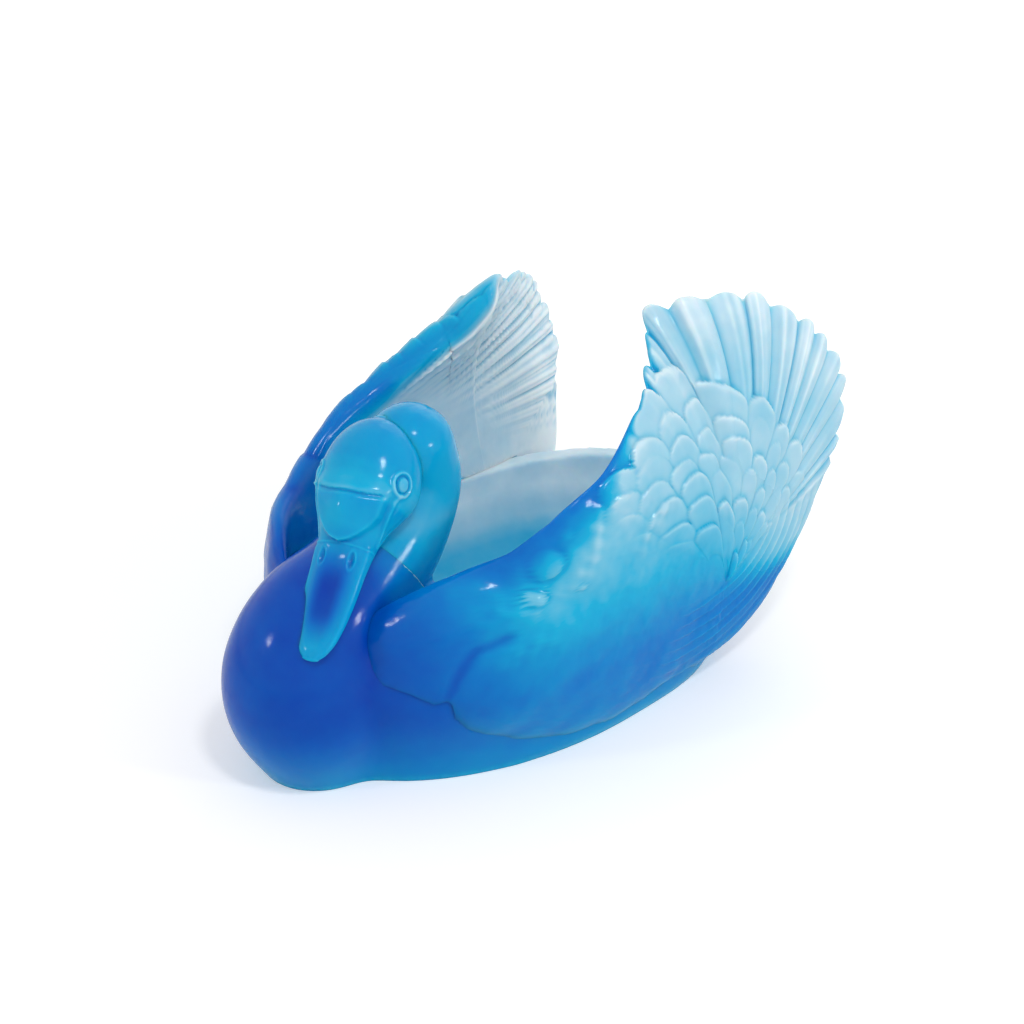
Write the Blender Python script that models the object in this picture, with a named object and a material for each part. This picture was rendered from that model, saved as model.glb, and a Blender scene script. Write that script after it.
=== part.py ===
"""Open bowl in cast glass, shaped as a resting swan with raised wings.

Metres, +Z up. The swan faces -Y, its left is +X, and the foot of the bowl lies on Z = 0.
The casting is parted where its pattern is parted: the body with its hollow, two wings that sit
on the rim and lap over the flanks, the neck, and the head.
"""

import math

import bmesh
import bpy
from mathutils import Vector

MM = 0.001

# Main sizes: breast to tail feathers, foot to wing tips, and across the shoulders
LENGTH = 352 * MM
HEIGHT = 225 * MM
WIDTH = 218 * MM
# One division of the pattern drawing, which is 352 long, 225 high and 218 wide
ALONG = LENGTH / 352
UP = HEIGHT / 225
ACROSS = WIDTH / 218

# Fits
JOINT_GAP = 0.3 * MM

# Hull: its plan is an egg with its widest section a little behind the middle
HULL_WIDEST_Y = 14 * ALONG
FOOT_HALF_WIDTH = 96 * ACROSS
SHOULDER_HALF_WIDTH = WIDTH / 2
FLARE_HEIGHT = 224 * UP
FOOT_FRONT = 150 * ALONG
FOOT_REAR = 116 * ALONG
SHOULDER_FRONT = 147 * ALONG
RIM_FRONT = 124 * ALONG
RIM_REAR = 142 * ALONG
RIM_HEIGHT = 75 * UP
BREAST_RISE = 17 * UP
TAIL_RISE = 7 * UP
FOOT_ROUND = 2 * MM
LAP = 4.5 * MM

# Hollow
WALL = 12 * MM
HOLLOW_FRONT = 82 * ALONG
FLOOR_HEIGHT = 22 * UP
FLOOR_HALF_WIDTH = 46 * ACROSS

# Wings: each is laid out round a hub on the flank, by the angle above +Y, and its reach and
# feather tips are in divisions of the pattern drawing
HUB_Y = 78 * ALONG
HUB_Z = 65.5 * UP
WING_ROOT = 16.5 * MM
FAN_START = 30
FAN_END = 99
FAN_FEATHERS = 11
ARM_END = 123
ARM_FEATHERS = 4
SHOULDER_END = 178
TIP_ROUND = 5
ARM_TIP_ROUND = 3
FEATHER_CROWN = 1.3 * MM
COVERT_STEP = 1.5 * MM
COVERT_ROUND = 0.05
COVERT_ROWS = (0.36, 0.50, 0.63)
# the right fan is folded a little lower than the left one
FAN_DROP = {"left_wing": 0, "right_wing": 20}

# Wing stations: angle in degrees, reach from the hub, lean of the edge out of the flank, edge
# thickness, bend of the edge in to the body, squareness of the edge. They run from the lowest
# flight feather over the fan, down the arm to the breast, and back along the flank. The left
# arm has a slim leading edge and a broad front corner that meets the neck.
FAN_STATIONS = (
    (0, 73, -6 * ACROSS, 6 * MM, 0 * ACROSS, 20),
    (22, 92, -2 * ACROSS, 5 * MM, 0 * ACROSS, 20),
    (42, 129, 0 * ACROSS, 4 * MM, 0 * ACROSS, 20),
    (60, 147, -6 * ACROSS, 4 * MM, 0 * ACROSS, 20),
    (76, 157.5, -25 * ACROSS, 4 * MM, 0 * ACROSS, 20),
    (90, 158.5, -43 * ACROSS, 4 * MM, 0 * ACROSS, 20),
)
LEFT_ARM = (
    (97, 149, -58.5 * ACROSS, 4.5 * MM, 0 * ACROSS, 20),
    (103, 139, -44 * ACROSS, 5 * MM, 0 * ACROSS, 20),
    (114, 127, -28.5 * ACROSS, 5.5 * MM, 0 * ACROSS, 16),
    (135, 130, -15 * ACROSS, 8 * MM, 0 * ACROSS, 10),
    (150, 145, -16 * ACROSS, 15 * MM, -1 * ACROSS, 7),
    (158, 154, -21 * ACROSS, 26 * MM, -4 * ACROSS, 6),
    (164, 168, -31 * ACROSS, 40 * MM, -7 * ACROSS, 6),
    (170, 188, -32 * ACROSS, 46 * MM, -11 * ACROSS, 6),
    (177, 203, -26 * ACROSS, 38 * MM, -16 * ACROSS, 6),
    (186, 206, -12 * ACROSS, 22 * MM, -21 * ACROSS, 6),
)
RIGHT_ARM = (
    (97, 149, -60 * ACROSS, 8 * MM, 0 * ACROSS, 20),
    (103, 139, -54 * ACROSS, 25 * MM, 0 * ACROSS, 20),
    (114, 127, -42 * ACROSS, 32 * MM, 0 * ACROSS, 16),
    (135, 130, -26 * ACROSS, 30 * MM, 0 * ACROSS, 9),
    (156, 155, -20 * ACROSS, 26 * MM, 0 * ACROSS, 8),
    (162, 173, -22 * ACROSS, 24 * MM, -2 * ACROSS, 7),
    (166, 192, -23 * ACROSS, 22 * MM, -7 * ACROSS, 7),
    (174, 202, -18 * ACROSS, 20 * MM, -18 * ACROSS, 6),
    (184, 200, -10 * ACROSS, 16 * MM, -20 * ACROSS, 6),
)
FLANK_STATIONS = (
    (194, 184, -7 * ACROSS, 13 * MM, -8 * ACROSS, 8),
    (210, 124, -6.5 * ACROSS, 11 * MM, 0 * ACROSS, 12),
    (235, 72.5, -8 * ACROSS, 10 * MM, 0 * ACROSS, 16),
    (270, 58, -10 * ACROSS, 10 * MM, 0 * ACROSS, 20),
    (300, 60, -11 * ACROSS, 8 * MM, 0 * ACROSS, 20),
    (332, 66, -10 * ACROSS, 7 * MM, 0 * ACROSS, 20),
)
WING_STATIONS = {
    "left_wing": FAN_STATIONS + LEFT_ARM + FLANK_STATIONS,
    "right_wing": FAN_STATIONS + RIGHT_ARM + FLANK_STATIONS,
}
BEND_POWER = 14

# Neck: centre line in the middle plane (Y, Z) and radius, from under the foot to the nape
NECK_LINE = (
    (-121 * ALONG, -12 * UP, 27 * ACROSS),
    (-127 * ALONG, 14 * UP, 37 * ACROSS),
    (-132 * ALONG, 38 * UP, 44 * ACROSS),
    (-132 * ALONG, 58 * UP, 43.5 * ACROSS),
    (-121 * ALONG, 77 * UP, 38 * ACROSS),
    (-96 * ALONG, 93 * UP, 32 * ACROSS),
    (-71 * ALONG, 113 * UP, 27 * ACROSS),
    (-57 * ALONG, 136 * UP, 24 * ACROSS),
    (-60 * ALONG, 156 * UP, 23.5 * ACROSS),
)
NECK_SEAT_AT = 5.45

# Head: the skull's centre, the beak's tip, and sections along the line between them
SKULL_CENTRE = Vector((0, -83 * ALONG, 155 * UP))
BEAK_TIP = Vector((31 * ACROSS, -154 * ALONG, 82 * UP))
HEAD_LENGTH = (BEAK_TIP - SKULL_CENTRE).length
KNOB_AT = 0.31 * HEAD_LENGTH
KNOB_HEIGHT = 6 * MM
KNOB_LENGTH = 9 * MM
KNOB_WIDTH = 9 * MM
BEAK_TROUGH = 2.5 * MM
TROUGH_FROM = 0.414 * HEAD_LENGTH
# share of the length from the skull's centre, half width, height above the line, depth below it
HEAD_SECTIONS = (
    (-0.197, 9 * ACROSS, 8 * UP, 8 * UP),
    (-0.150, 16.5 * ACROSS, 14 * UP, 14 * UP),
    (-0.066, 22.5 * ACROSS, 19 * UP, 19 * UP),
    (0.038, 25.5 * ACROSS, 21 * UP, 21 * UP),
    (0.150, 26 * ACROSS, 20 * UP, 20 * UP),
    (0.254, 23 * ACROSS, 17 * UP, 16 * UP),
    (0.338, 18.5 * ACROSS, 13.5 * UP, 12 * UP),
    (0.432, 15.5 * ACROSS, 11 * UP, 9 * UP),
    (0.564, 14 * ACROSS, 9 * UP, 7 * UP),
    (0.733, 13 * ACROSS, 7 * UP, 5.5 * UP),
    (0.865, 11 * ACROSS, 5 * UP, 4 * UP),
    (0.949, 8 * ACROSS, 3.5 * UP, 3 * UP),
    (0.987, 4.5 * ACROSS, 2 * UP, 2 * UP),
)

# Facets
HULL_SIDES = 48
NECK_SIDES = 20
HEAD_SIDES = 20
COLUMNS_PER_FEATHER = 4
SHOULDER_COLUMNS = 14
FLANK_COLUMNS = 22


def ease(t):
    """A smooth step from 0 to 1 as t goes from 0 to 1."""
    t = min(max(t, 0.0), 1.0)
    return t * t * (3 - 2 * t)


def spline(a, b, c, d, t):
    """The Catmull-Rom curve from b to c."""
    bend = 2 * a - 5 * b + 4 * c - d
    twist = 3 * (b - c) + d - a
    return b + 0.5 * t * (c - a + t * (bend + t * twist))


def flank_half_width(z):
    """Half width of the swan at a height: the sides flare out from the foot."""
    climb = min(z / FLARE_HEIGHT, 1.0)
    return FOOT_HALF_WIDTH + (SHOULDER_HALF_WIDTH - FOOT_HALF_WIDTH) * (1 - (1 - climb) ** 2)


def hull_front(z):
    """Length of the hull from its widest section to the breast, drawn in towards the rim."""
    swell = FOOT_FRONT + (SHOULDER_FRONT - FOOT_FRONT) * ease(z / RIM_HEIGHT)
    drawn_in = ease((z - 0.6 * RIM_HEIGHT) / (0.4 * RIM_HEIGHT))
    return swell + (RIM_FRONT - SHOULDER_FRONT) * drawn_in


def front_power(z):
    """Squareness of the front of the plan: an oval foot under broad shoulders."""
    return 2.0 + ease(z / RIM_HEIGHT)


def flank(y, z):
    """The wing's outer face before it leans: its X at a place on the flank."""
    half_width = flank_half_width(z)
    if y >= HULL_WIDEST_Y:
        return half_width
    power = front_power(z)
    forward = min((HULL_WIDEST_Y - y) / SHOULDER_FRONT, 0.97)
    return half_width * (1 - forward ** power) ** (1 / power)


def egg(half_width, front, rear, power, z, rise=0.0):
    """One ring of the body: a superellipse, sharper or blunter at its front."""
    ring = []
    for i in range(HULL_SIDES):
        angle = 2 * math.pi * (i + 0.5) / HULL_SIDES
        across = math.cos(angle)
        along = math.sin(angle)
        bend = power if along < 0 else 3.2
        reach = front if along < 0 else rear
        x = math.copysign(half_width * abs(across) ** (2 / bend), across)
        y = math.copysign(reach * abs(along) ** (2 / bend), along)
        lift = TAIL_RISE * along ** 6 if along > 0 else BREAST_RISE * along ** 4
        ring.append(Vector((x, HULL_WIDEST_Y + y, z + lift * rise)))
    return ring


def hull_rings(grow=0.0):
    """Rings up the outside of the hull, from below the foot to the rim."""
    rings = []
    for step in (-0.1, 0.0, 0.07, 0.25, 0.5, 0.7, 0.85, 0.95, 1.0):
        z = max(step, 0.0) * RIM_HEIGHT
        foot = FOOT_ROUND * (1 - min(max(step, 0.0) / 0.07, 1.0)) ** 2
        rear = FOOT_REAR + (RIM_REAR - FOOT_REAR) * ease(step)
        rings.append(egg(
            flank_half_width(z) - LAP - foot + grow,
            hull_front(z) - foot + grow,
            rear - foot + grow,
            front_power(z),
            step * RIM_HEIGHT + (grow if step == 1.0 else 0.0),
            rise=ease((step - 0.25) / 0.75),
        ))
    return rings


def hollow_rings():
    """Rings down the inside of the bowl, from the rim to the floor."""
    rim_half_width = flank_half_width(RIM_HEIGHT) - LAP - WALL
    rings = []
    for turn in (0, 12, 30, 48, 64, 78):
        down = math.sin(math.radians(turn))
        inward = 1 - math.cos(math.radians(turn))
        rings.append(egg(
            rim_half_width + (FLOOR_HALF_WIDTH - rim_half_width) * inward,
            HOLLOW_FRONT + (FLOOR_HALF_WIDTH - HOLLOW_FRONT) * inward,
            (RIM_REAR - WALL) + (FLOOR_HALF_WIDTH * 1.5 - RIM_REAR + WALL) * inward,
            2.3,
            RIM_HEIGHT + (FLOOR_HEIGHT - RIM_HEIGHT) * down,
            rise=(1 - down) ** 2,
        ))
    return rings


def mesh_from_bmesh(name, bm):
    bmesh.ops.recalc_face_normals(bm, faces=bm.faces)
    mesh = bpy.data.meshes.new(name)
    bm.to_mesh(mesh)
    bm.free()
    return mesh


def loft(name, rings, start, end):
    """Skin rings of equal count and close the skin at a point at each end."""
    bm = bmesh.new()
    loops = [[bm.verts.new(point) for point in ring] for ring in rings]
    count = len(loops[0])
    for lower, upper in zip(loops, loops[1:]):
        for i in range(count):
            j = (i + 1) % count
            bm.faces.new((lower[i], lower[j], upper[j], upper[i]))
    for loop, point in ((loops[0], start), (loops[-1], end)):
        pole = bm.verts.new(point)
        for i in range(count):
            bm.faces.new((loop[i], loop[(i + 1) % count], pole))
    return mesh_from_bmesh(name, bm)


def middle(ring):
    return sum(ring, Vector()) / len(ring)


def cut_flat(mesh, point, normal):
    """Cut away what lies on the normal's side of a plane and close the cut."""
    bm = bmesh.new()
    bm.from_mesh(mesh)
    geometry = bm.verts[:] + bm.edges[:] + bm.faces[:]
    cut = bmesh.ops.bisect_plane(
        bm, geom=geometry, dist=1e-7, plane_co=point, plane_no=normal, clear_outer=True)
    rim = [item for item in cut["geom_cut"] if isinstance(item, bmesh.types.BMEdge)]
    bmesh.ops.holes_fill(bm, edges=rim, sides=0)
    bmesh.ops.recalc_face_normals(bm, faces=bm.faces)
    bm.to_mesh(mesh)
    bm.free()


def new_collection(name):
    collection = bpy.data.collections.new(name)
    bpy.context.scene.collection.children.link(collection)
    return collection


def add_part(name, mesh, colour, roughness):
    """Put a mesh in the swan's collection as a named part with its own glass."""
    glass = bpy.data.materials.new(name + "_glass")
    glass.use_nodes = True
    shader = glass.node_tree.nodes["Principled BSDF"]
    shader.inputs["Base Color"].default_value = (*colour, 1.0)
    shader.inputs["Roughness"].default_value = roughness
    shader.inputs["Metallic"].default_value = 0.0
    mesh.materials.append(glass)
    mesh.shade_smooth()
    mesh.set_sharp_from_angle(angle=math.radians(50))
    part = bpy.data.objects.new(name, mesh)
    PARTS.objects.link(part)
    return part


def add_cutter(name, mesh):
    cutter = bpy.data.objects.new(name, mesh)
    cutter.hide_render = True
    cutter.display_type = 'WIRE'
    CUTTERS.objects.link(cutter)
    return cutter


def apply_boolean(part, cutter, operation):
    """Cut or join a part with another mesh, and keep the result as its mesh."""
    boolean = part.modifiers.new(operation.title(), 'BOOLEAN')
    boolean.operation = operation
    boolean.object = cutter
    boolean.solver = 'EXACT'
    bpy.context.view_layer.update()
    graph = bpy.context.evaluated_depsgraph_get()
    mesh = bpy.data.meshes.new_from_object(part.evaluated_get(graph))
    part.modifiers.remove(boolean)
    part.data = mesh


def neck_tube(name, grow=0.0):
    """The breast and neck as one bevelled curve with a round top, made a mesh."""
    curve = bpy.data.curves.new(name, 'CURVE')
    curve.dimensions = '3D'
    curve.bevel_depth = 1.0
    curve.bevel_resolution = NECK_SIDES // 2 - 2
    curve.use_fill_caps = True
    line = curve.splines.new('POLY')
    last = len(NECK_LINE) - 1
    rings = [neck_at(i / 3) for i in range(3 * last + 1)]
    y, z, radius = rings[-1]
    y_on = (y - rings[-2][0]) / math.dist(rings[-1][:2], rings[-2][:2])
    z_on = (z - rings[-2][1]) / math.dist(rings[-1][:2], rings[-2][:2])
    for turn in (30, 55, 75, 88):
        out = (radius + grow) * math.sin(math.radians(turn))
        narrowed = (radius + grow) * math.cos(math.radians(turn)) - grow
        rings.append((y + out * y_on, z + out * z_on, narrowed))
    line.points.add(len(rings) - 1)
    for point, (y, z, radius) in zip(line.points, rings):
        point.co = (0, y, z, 1)
        point.radius = radius + grow
    source = bpy.data.objects.new(name, curve)
    CUTTERS.objects.link(source)
    bpy.context.view_layer.update()
    graph = bpy.context.evaluated_depsgraph_get()
    mesh = bpy.data.meshes.new_from_object(source.evaluated_get(graph))
    bpy.data.objects.remove(source)
    bm = bmesh.new()
    bm.from_mesh(mesh)
    bmesh.ops.remove_doubles(bm, verts=bm.verts, dist=1e-6)
    bmesh.ops.recalc_face_normals(bm, faces=bm.faces)
    bm.to_mesh(mesh)
    bm.free()
    return mesh


def neck_at(at):
    """Y, Z and radius on the neck's line, at a station number that may be between stations."""
    last = len(NECK_LINE) - 1
    i = min(int(at), last - 1)
    picks = [NECK_LINE[min(max(i + k, 0), last)] for k in (-1, 0, 1, 2)]
    return tuple(spline(*values, at - i) for values in zip(*picks))


def neck_seat():
    """The plane between the body and the neck: a point and the way up the neck."""
    y, z, _ = neck_at(NECK_SEAT_AT)
    y_on, z_on, _ = neck_at(NECK_SEAT_AT + 0.05)
    return Vector((0, y, z)), Vector((0, y_on - y, z_on - z)).normalized()


def make_body(head_seat):
    outer = hull_rings()
    inner = hollow_rings()
    floor = middle(inner[-1])
    floor.z = FLOOR_HEIGHT
    shell = loft("bowl_body", outer + inner, middle(outer[0]), floor)
    seat, up_neck = neck_seat()
    neck_clearance = neck_tube("neck_clearance", JOINT_GAP)
    cut_flat(neck_clearance, seat, -up_neck)
    body = add_part("bowl_body", shell, (0.004, 0.09, 0.47), 0.12)
    apply_boolean(body, add_cutter("breast", neck_tube("breast")), 'UNION')
    apply_boolean(body, add_cutter("neck_clearance", neck_clearance), 'DIFFERENCE')
    apply_boolean(body, head_seat, 'DIFFERENCE')
    cut_flat(body.data, Vector(), Vector((0, 0, -1)))


def make_neck(head_seat):
    seat, up_neck = neck_seat()
    tube = neck_tube("neck")
    cut_flat(tube, seat + JOINT_GAP * up_neck, -up_neck)
    neck = add_part("neck", tube, (0.0, 0.26, 0.60), 0.12)
    apply_boolean(neck, head_seat, 'DIFFERENCE')


def head_mesh(grow=0.0):
    """The skull, knob and beak as rings along the beak's line."""
    ahead = (BEAK_TIP - SKULL_CENTRE).normalized()
    up = (Vector((0, 0, 1)) - ahead.z * ahead).normalized()
    side = ahead.cross(up)
    rings = []
    for share, half_width, above, below in HEAD_SECTIONS:
        at = share * HEAD_LENGTH
        centre = SKULL_CENTRE + at * ahead
        knob = KNOB_HEIGHT * math.exp(-((at - KNOB_AT) / KNOB_LENGTH) ** 2)
        trough = BEAK_TROUGH * ease((at - TROUGH_FROM) / (0.3 * TROUGH_FROM)) * above / (9 * MM)
        ring = []
        for i in range(HEAD_SIDES):
            angle = 2 * math.pi * i / HEAD_SIDES
            across = (half_width + grow) * math.cos(angle)
            height = ((above if math.sin(angle) > 0 else below) + grow) * math.sin(angle)
            if math.sin(angle) > 0:
                height += knob * math.exp(-(across / KNOB_WIDTH) ** 2)
                height -= trough * math.exp(-(across / (0.45 * half_width)) ** 2)
            ring.append(centre + across * side + height * up)
        rings.append(ring)
    back = HEAD_SECTIONS[0]
    nape = SKULL_CENTRE + (back[0] * HEAD_LENGTH - 0.35 * back[1] - grow) * ahead
    tip = SKULL_CENTRE + (HEAD_LENGTH + grow) * ahead
    return loft("head", rings, nape, tip)


def make_head():
    add_part("head", head_mesh(), (0.0, 0.34, 0.58), 0.15)


def feather_place(angle, offset=0.0):
    """How far across its feather an angle lies, from -1 to 1; None off the feathers."""
    if FAN_START <= angle <= FAN_END:
        count = (angle - FAN_START) / (FAN_END - FAN_START) * FAN_FEATHERS
    elif FAN_END < angle <= ARM_END:
        count = FAN_FEATHERS + (angle - FAN_END) / (ARM_END - FAN_END) * ARM_FEATHERS
    else:
        return None
    return 2 * ((count + offset) % 1.0) - 1


def wing_columns():
    """Angles of a wing's columns: some for each feather, and fewer round the flank."""
    fan_step = (FAN_END - FAN_START) / (FAN_FEATHERS * COLUMNS_PER_FEATHER)
    arm_step = (ARM_END - FAN_END) / (ARM_FEATHERS * COLUMNS_PER_FEATHER)
    shoulder_step = (SHOULDER_END - ARM_END) / SHOULDER_COLUMNS
    flank_span = 360 - SHOULDER_END + FAN_START
    columns = [FAN_START + i * fan_step for i in range(FAN_FEATHERS * COLUMNS_PER_FEATHER)]
    columns += [FAN_END + i * arm_step for i in range(ARM_FEATHERS * COLUMNS_PER_FEATHER)]
    columns += [ARM_END + i * shoulder_step for i in range(SHOULDER_COLUMNS)]
    columns += [SHOULDER_END + flank_span * (i / FLANK_COLUMNS) ** 1.4 for i in range(FLANK_COLUMNS)]
    return columns


def crown(angle, out):
    """Each long feather is domed across its width, more so towards its tip."""
    place = feather_place(angle)
    if place is None:
        return 0.0
    return FEATHER_CROWN * (0.5 - place ** 2) * ease((out - 0.3) / 0.3)


class Wing:
    """A wing laid out on a flank: a middle surface, thickened and closed at its edge."""

    def __init__(self, name, side):
        self.name = name
        self.side = side
        self.drop = FAN_DROP[name]
        self.stations = WING_STATIONS[name]

    def station(self, angle):
        """Reach, lean, edge thickness, bend and squareness at any angle round the hub."""
        angle %= 360
        count = len(self.stations)
        last = max(i for i in range(count) if self.stations[i][0] <= angle)
        picks = [self.stations[(last + k) % count] for k in (-1, 0, 1, 2)]
        gap = (picks[2][0] - picks[1][0]) % 360
        t = ((angle - picks[1][0]) % 360) / gap
        reach, lean, edge, bend, square = (
            spline(*(pick[k] for pick in picks), t) for k in range(1, 6))
        lowered = ease(angle / FAN_END * 1.6) * ease((FAN_END - angle) / 10)
        return reach - self.drop * lowered, lean, edge, bend, square

    def middle(self, y, z):
        """X of the middle surface over a place on the flank, and the thickness there."""
        rearward = (y - HUB_Y) / ALONG
        upward = (z - HUB_Z) / UP
        angle = math.degrees(math.atan2(upward, rearward))
        reach, lean, edge, bend, _ = self.station(angle)
        out = min(math.hypot(rearward, upward) / reach, 1.1)
        hold = min(out, 1.0) ** (5 if edge > WING_ROOT else 1.4)
        thickness = WING_ROOT + (edge - WING_ROOT) * hold
        x = flank(y, max(z, 0.0)) - thickness / 2 + (lean + edge / 2) * out ** 3
        return x + bend * min(out, 1.04) ** BEND_POWER, thickness

    def point(self, angle, out, face, relief=0.0):
        """A point on the outside, where face is 1, or on the inside, where it is -1."""
        reach, *_, square = self.station(angle)
        place = feather_place(angle)
        distance = out * reach
        if place is not None:
            tip = TIP_ROUND if angle <= FAN_END else ARM_TIP_ROUND
            distance -= tip * abs(place) ** 2.5 * ease((out - 0.7) / 0.3)
        y = HUB_Y + distance * math.cos(math.radians(angle)) * ALONG
        z = HUB_Z + distance * math.sin(math.radians(angle)) * UP
        x, thickness = self.middle(y, z)
        step = 0.5 * MM
        slope_y = (self.middle(y + step, z)[0] - self.middle(y - step, z)[0]) / (2 * step)
        slope_z = (self.middle(y, z + step)[0] - self.middle(y, z - step)[0]) / (2 * step)
        normal = Vector((1, -slope_y, -slope_z)).normalized()
        closing = math.sqrt(max(1 - out ** square, 0.0))
        point = Vector((x, y, z)) + face * (thickness / 2 + relief) * closing * normal
        return Vector((self.side * point.x, point.y, point.z))

    def ring(self, out, face, relief=None, row=None):
        """Points round the hub at a share of the reach; a covert row has round tips."""
        points = []
        for angle in wing_columns():
            place = feather_place(angle, 0.5 * (row or 0))
            at = out
            if row is not None and place is not None:
                at += COVERT_ROUND * (1 - place ** 2)
            lift = crown(angle, at) if relief is None or place is None else relief
            points.append(self.point(angle, at, face, lift))
        return points

    def mesh(self):
        """Rings from the hub out over the covert rows to the tips, and back inside."""
        rings = [self.ring(0.18, 1, 0.0)]
        for row, out in enumerate(COVERT_ROWS):
            rings.append(self.ring(out, 1, COVERT_STEP, row))
            rings.append(self.ring(out + 0.012, 1, 0.0, row))
        rings += [self.ring(out, 1) for out in (0.80, 0.90, 0.97, 0.995)]
        rings.append(self.ring(1.0, 1))
        rings += [self.ring(out, -1) for out in (0.995, 0.97, 0.88, 0.72, 0.52, 0.28)]
        return loft(self.name, rings, self.point(0, 0.0, 1), self.point(0, 0.0, -1))


def make_wings():
    filled = hull_rings(JOINT_GAP)
    filled.append([point + Vector((0, 0, JOINT_GAP)) for point in hollow_rings()[0]])
    hull = loft("wing_seat", filled, middle(filled[0]), middle(filled[-1]))
    hull = add_cutter("wing_seat", hull)
    breast = add_cutter("breast_clearance", neck_tube("breast_clearance", JOINT_GAP))
    for name, side in (("left_wing", 1), ("right_wing", -1)):
        wing = add_part(name, Wing(name, side).mesh(), (0.26, 0.55, 0.72), 0.35)
        apply_boolean(wing, hull, 'DIFFERENCE')
        apply_boolean(wing, breast, 'DIFFERENCE')


def main():
    head_seat = add_cutter("head_seat", head_mesh(JOINT_GAP))
    make_body(head_seat)
    make_neck(head_seat)
    make_head()
    make_wings()


for old in list(bpy.data.objects):
    bpy.data.objects.remove(old)
PARTS = new_collection("swan_bowl")
CUTTERS = new_collection("cutters")
main()
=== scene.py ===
"""Looks of the swan bowl: cast glass with feathered wings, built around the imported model.

Metres, +Z up. The swan faces -Y and its left is +X. Every piece is laid out by the same lines as
the solid that it stands for, with finer steps, and gets the relief of the casting.
"""

import math

import bmesh
import bpy
import numpy as np
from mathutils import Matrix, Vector


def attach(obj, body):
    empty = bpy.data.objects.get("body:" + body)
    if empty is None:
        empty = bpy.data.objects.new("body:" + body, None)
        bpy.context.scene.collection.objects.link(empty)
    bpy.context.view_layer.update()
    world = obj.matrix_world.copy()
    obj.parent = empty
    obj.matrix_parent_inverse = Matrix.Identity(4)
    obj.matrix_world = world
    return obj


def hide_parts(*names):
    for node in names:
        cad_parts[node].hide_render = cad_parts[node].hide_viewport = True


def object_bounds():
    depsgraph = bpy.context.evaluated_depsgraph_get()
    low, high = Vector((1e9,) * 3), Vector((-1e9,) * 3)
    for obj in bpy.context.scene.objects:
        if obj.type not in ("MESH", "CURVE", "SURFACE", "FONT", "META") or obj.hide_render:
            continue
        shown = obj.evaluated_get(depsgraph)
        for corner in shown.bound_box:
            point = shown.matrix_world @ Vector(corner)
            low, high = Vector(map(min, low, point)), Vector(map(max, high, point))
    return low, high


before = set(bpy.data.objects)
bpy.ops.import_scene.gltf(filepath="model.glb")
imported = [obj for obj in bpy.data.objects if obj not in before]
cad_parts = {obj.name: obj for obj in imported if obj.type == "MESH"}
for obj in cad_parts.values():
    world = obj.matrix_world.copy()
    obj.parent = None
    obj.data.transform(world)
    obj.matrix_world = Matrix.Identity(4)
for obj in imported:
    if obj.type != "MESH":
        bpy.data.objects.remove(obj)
CAD_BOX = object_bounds()

bl_info = {
    "name": "Swan bowl",
    "version": (1, 0, 0),
    "blender": (4, 5, 0),
    "location": "View3D > Sidebar > Swan",
    "description": "Builds the looks of a cast-glass swan bowl on its packed solids",
    "category": "Object",
}

MM = 0.001
BODY = "root"

# Hull, in millimetres: an egg in plan, widest a little behind the middle
HULL_WIDEST_Y = 14
FOOT_HALF_WIDTH = 96
SHOULDER_HALF_WIDTH = 109
FLARE_HEIGHT = 224
FOOT_FRONT = 150
FOOT_REAR = 116
SHOULDER_FRONT = 147
RIM_FRONT = 124
RIM_REAR = 142
RIM_HEIGHT = 75
BREAST_RISE = 17
TAIL_RISE = 7
FOOT_ROUND = 2
LAP = 4.5
WALL = 12
HOLLOW_FRONT = 82
FLOOR_HEIGHT = 22
FLOOR_HALF_WIDTH = 46
HULL_SIDES = 192

# Wings: laid out round a hub on the flank, by the angle above +Y in degrees
HUB_Y = 78
HUB_Z = 65.5
WING_ROOT = 16.5
FAN_START = 30
FAN_END = 99
FAN_FEATHERS = 11
ARM_END = 168
TIP_ROUND = 5
BEND_POWER = 14
FLANK_POWER = 8
# the right wing is swept: its feathers spring from a place near its leading edge
SWEEP_ROOT = (-42, 110)
# the lowest feathers are curved round this place
LOW_CENTRE = (60, 110)
# marks on the shoulder, as Y and Z: bubbles with radius and height, a groove, rough ridges
BUBBLES = ((-50, 120, 7.5, 2.4), (-57, 102, 5.6, 2.0), (-41, 133, 3.2, 0.9), (-33, 104, 2.4, 0.9))
GROOVE = ((-71.6, 85), (-84.8, 80.5), (-91.8, 71.8), (-97.2, 59.2), (-99.2, 49.2))
RIDGES = (
    ((-98.7, 87.3), (-87.1, 91.7), (-73.7, 96.5), (-60, 97)),
    ((-22, 140), (-26, 121), (-35, 109.4), (-43, 104.5)),
    ((-77, 72.7), (-67.3, 79.2), (-51, 81)),
    ((20, 132), (12, 126), (4, 116)))
FAN_DROP = {1: 0, -1: 20}
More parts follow.
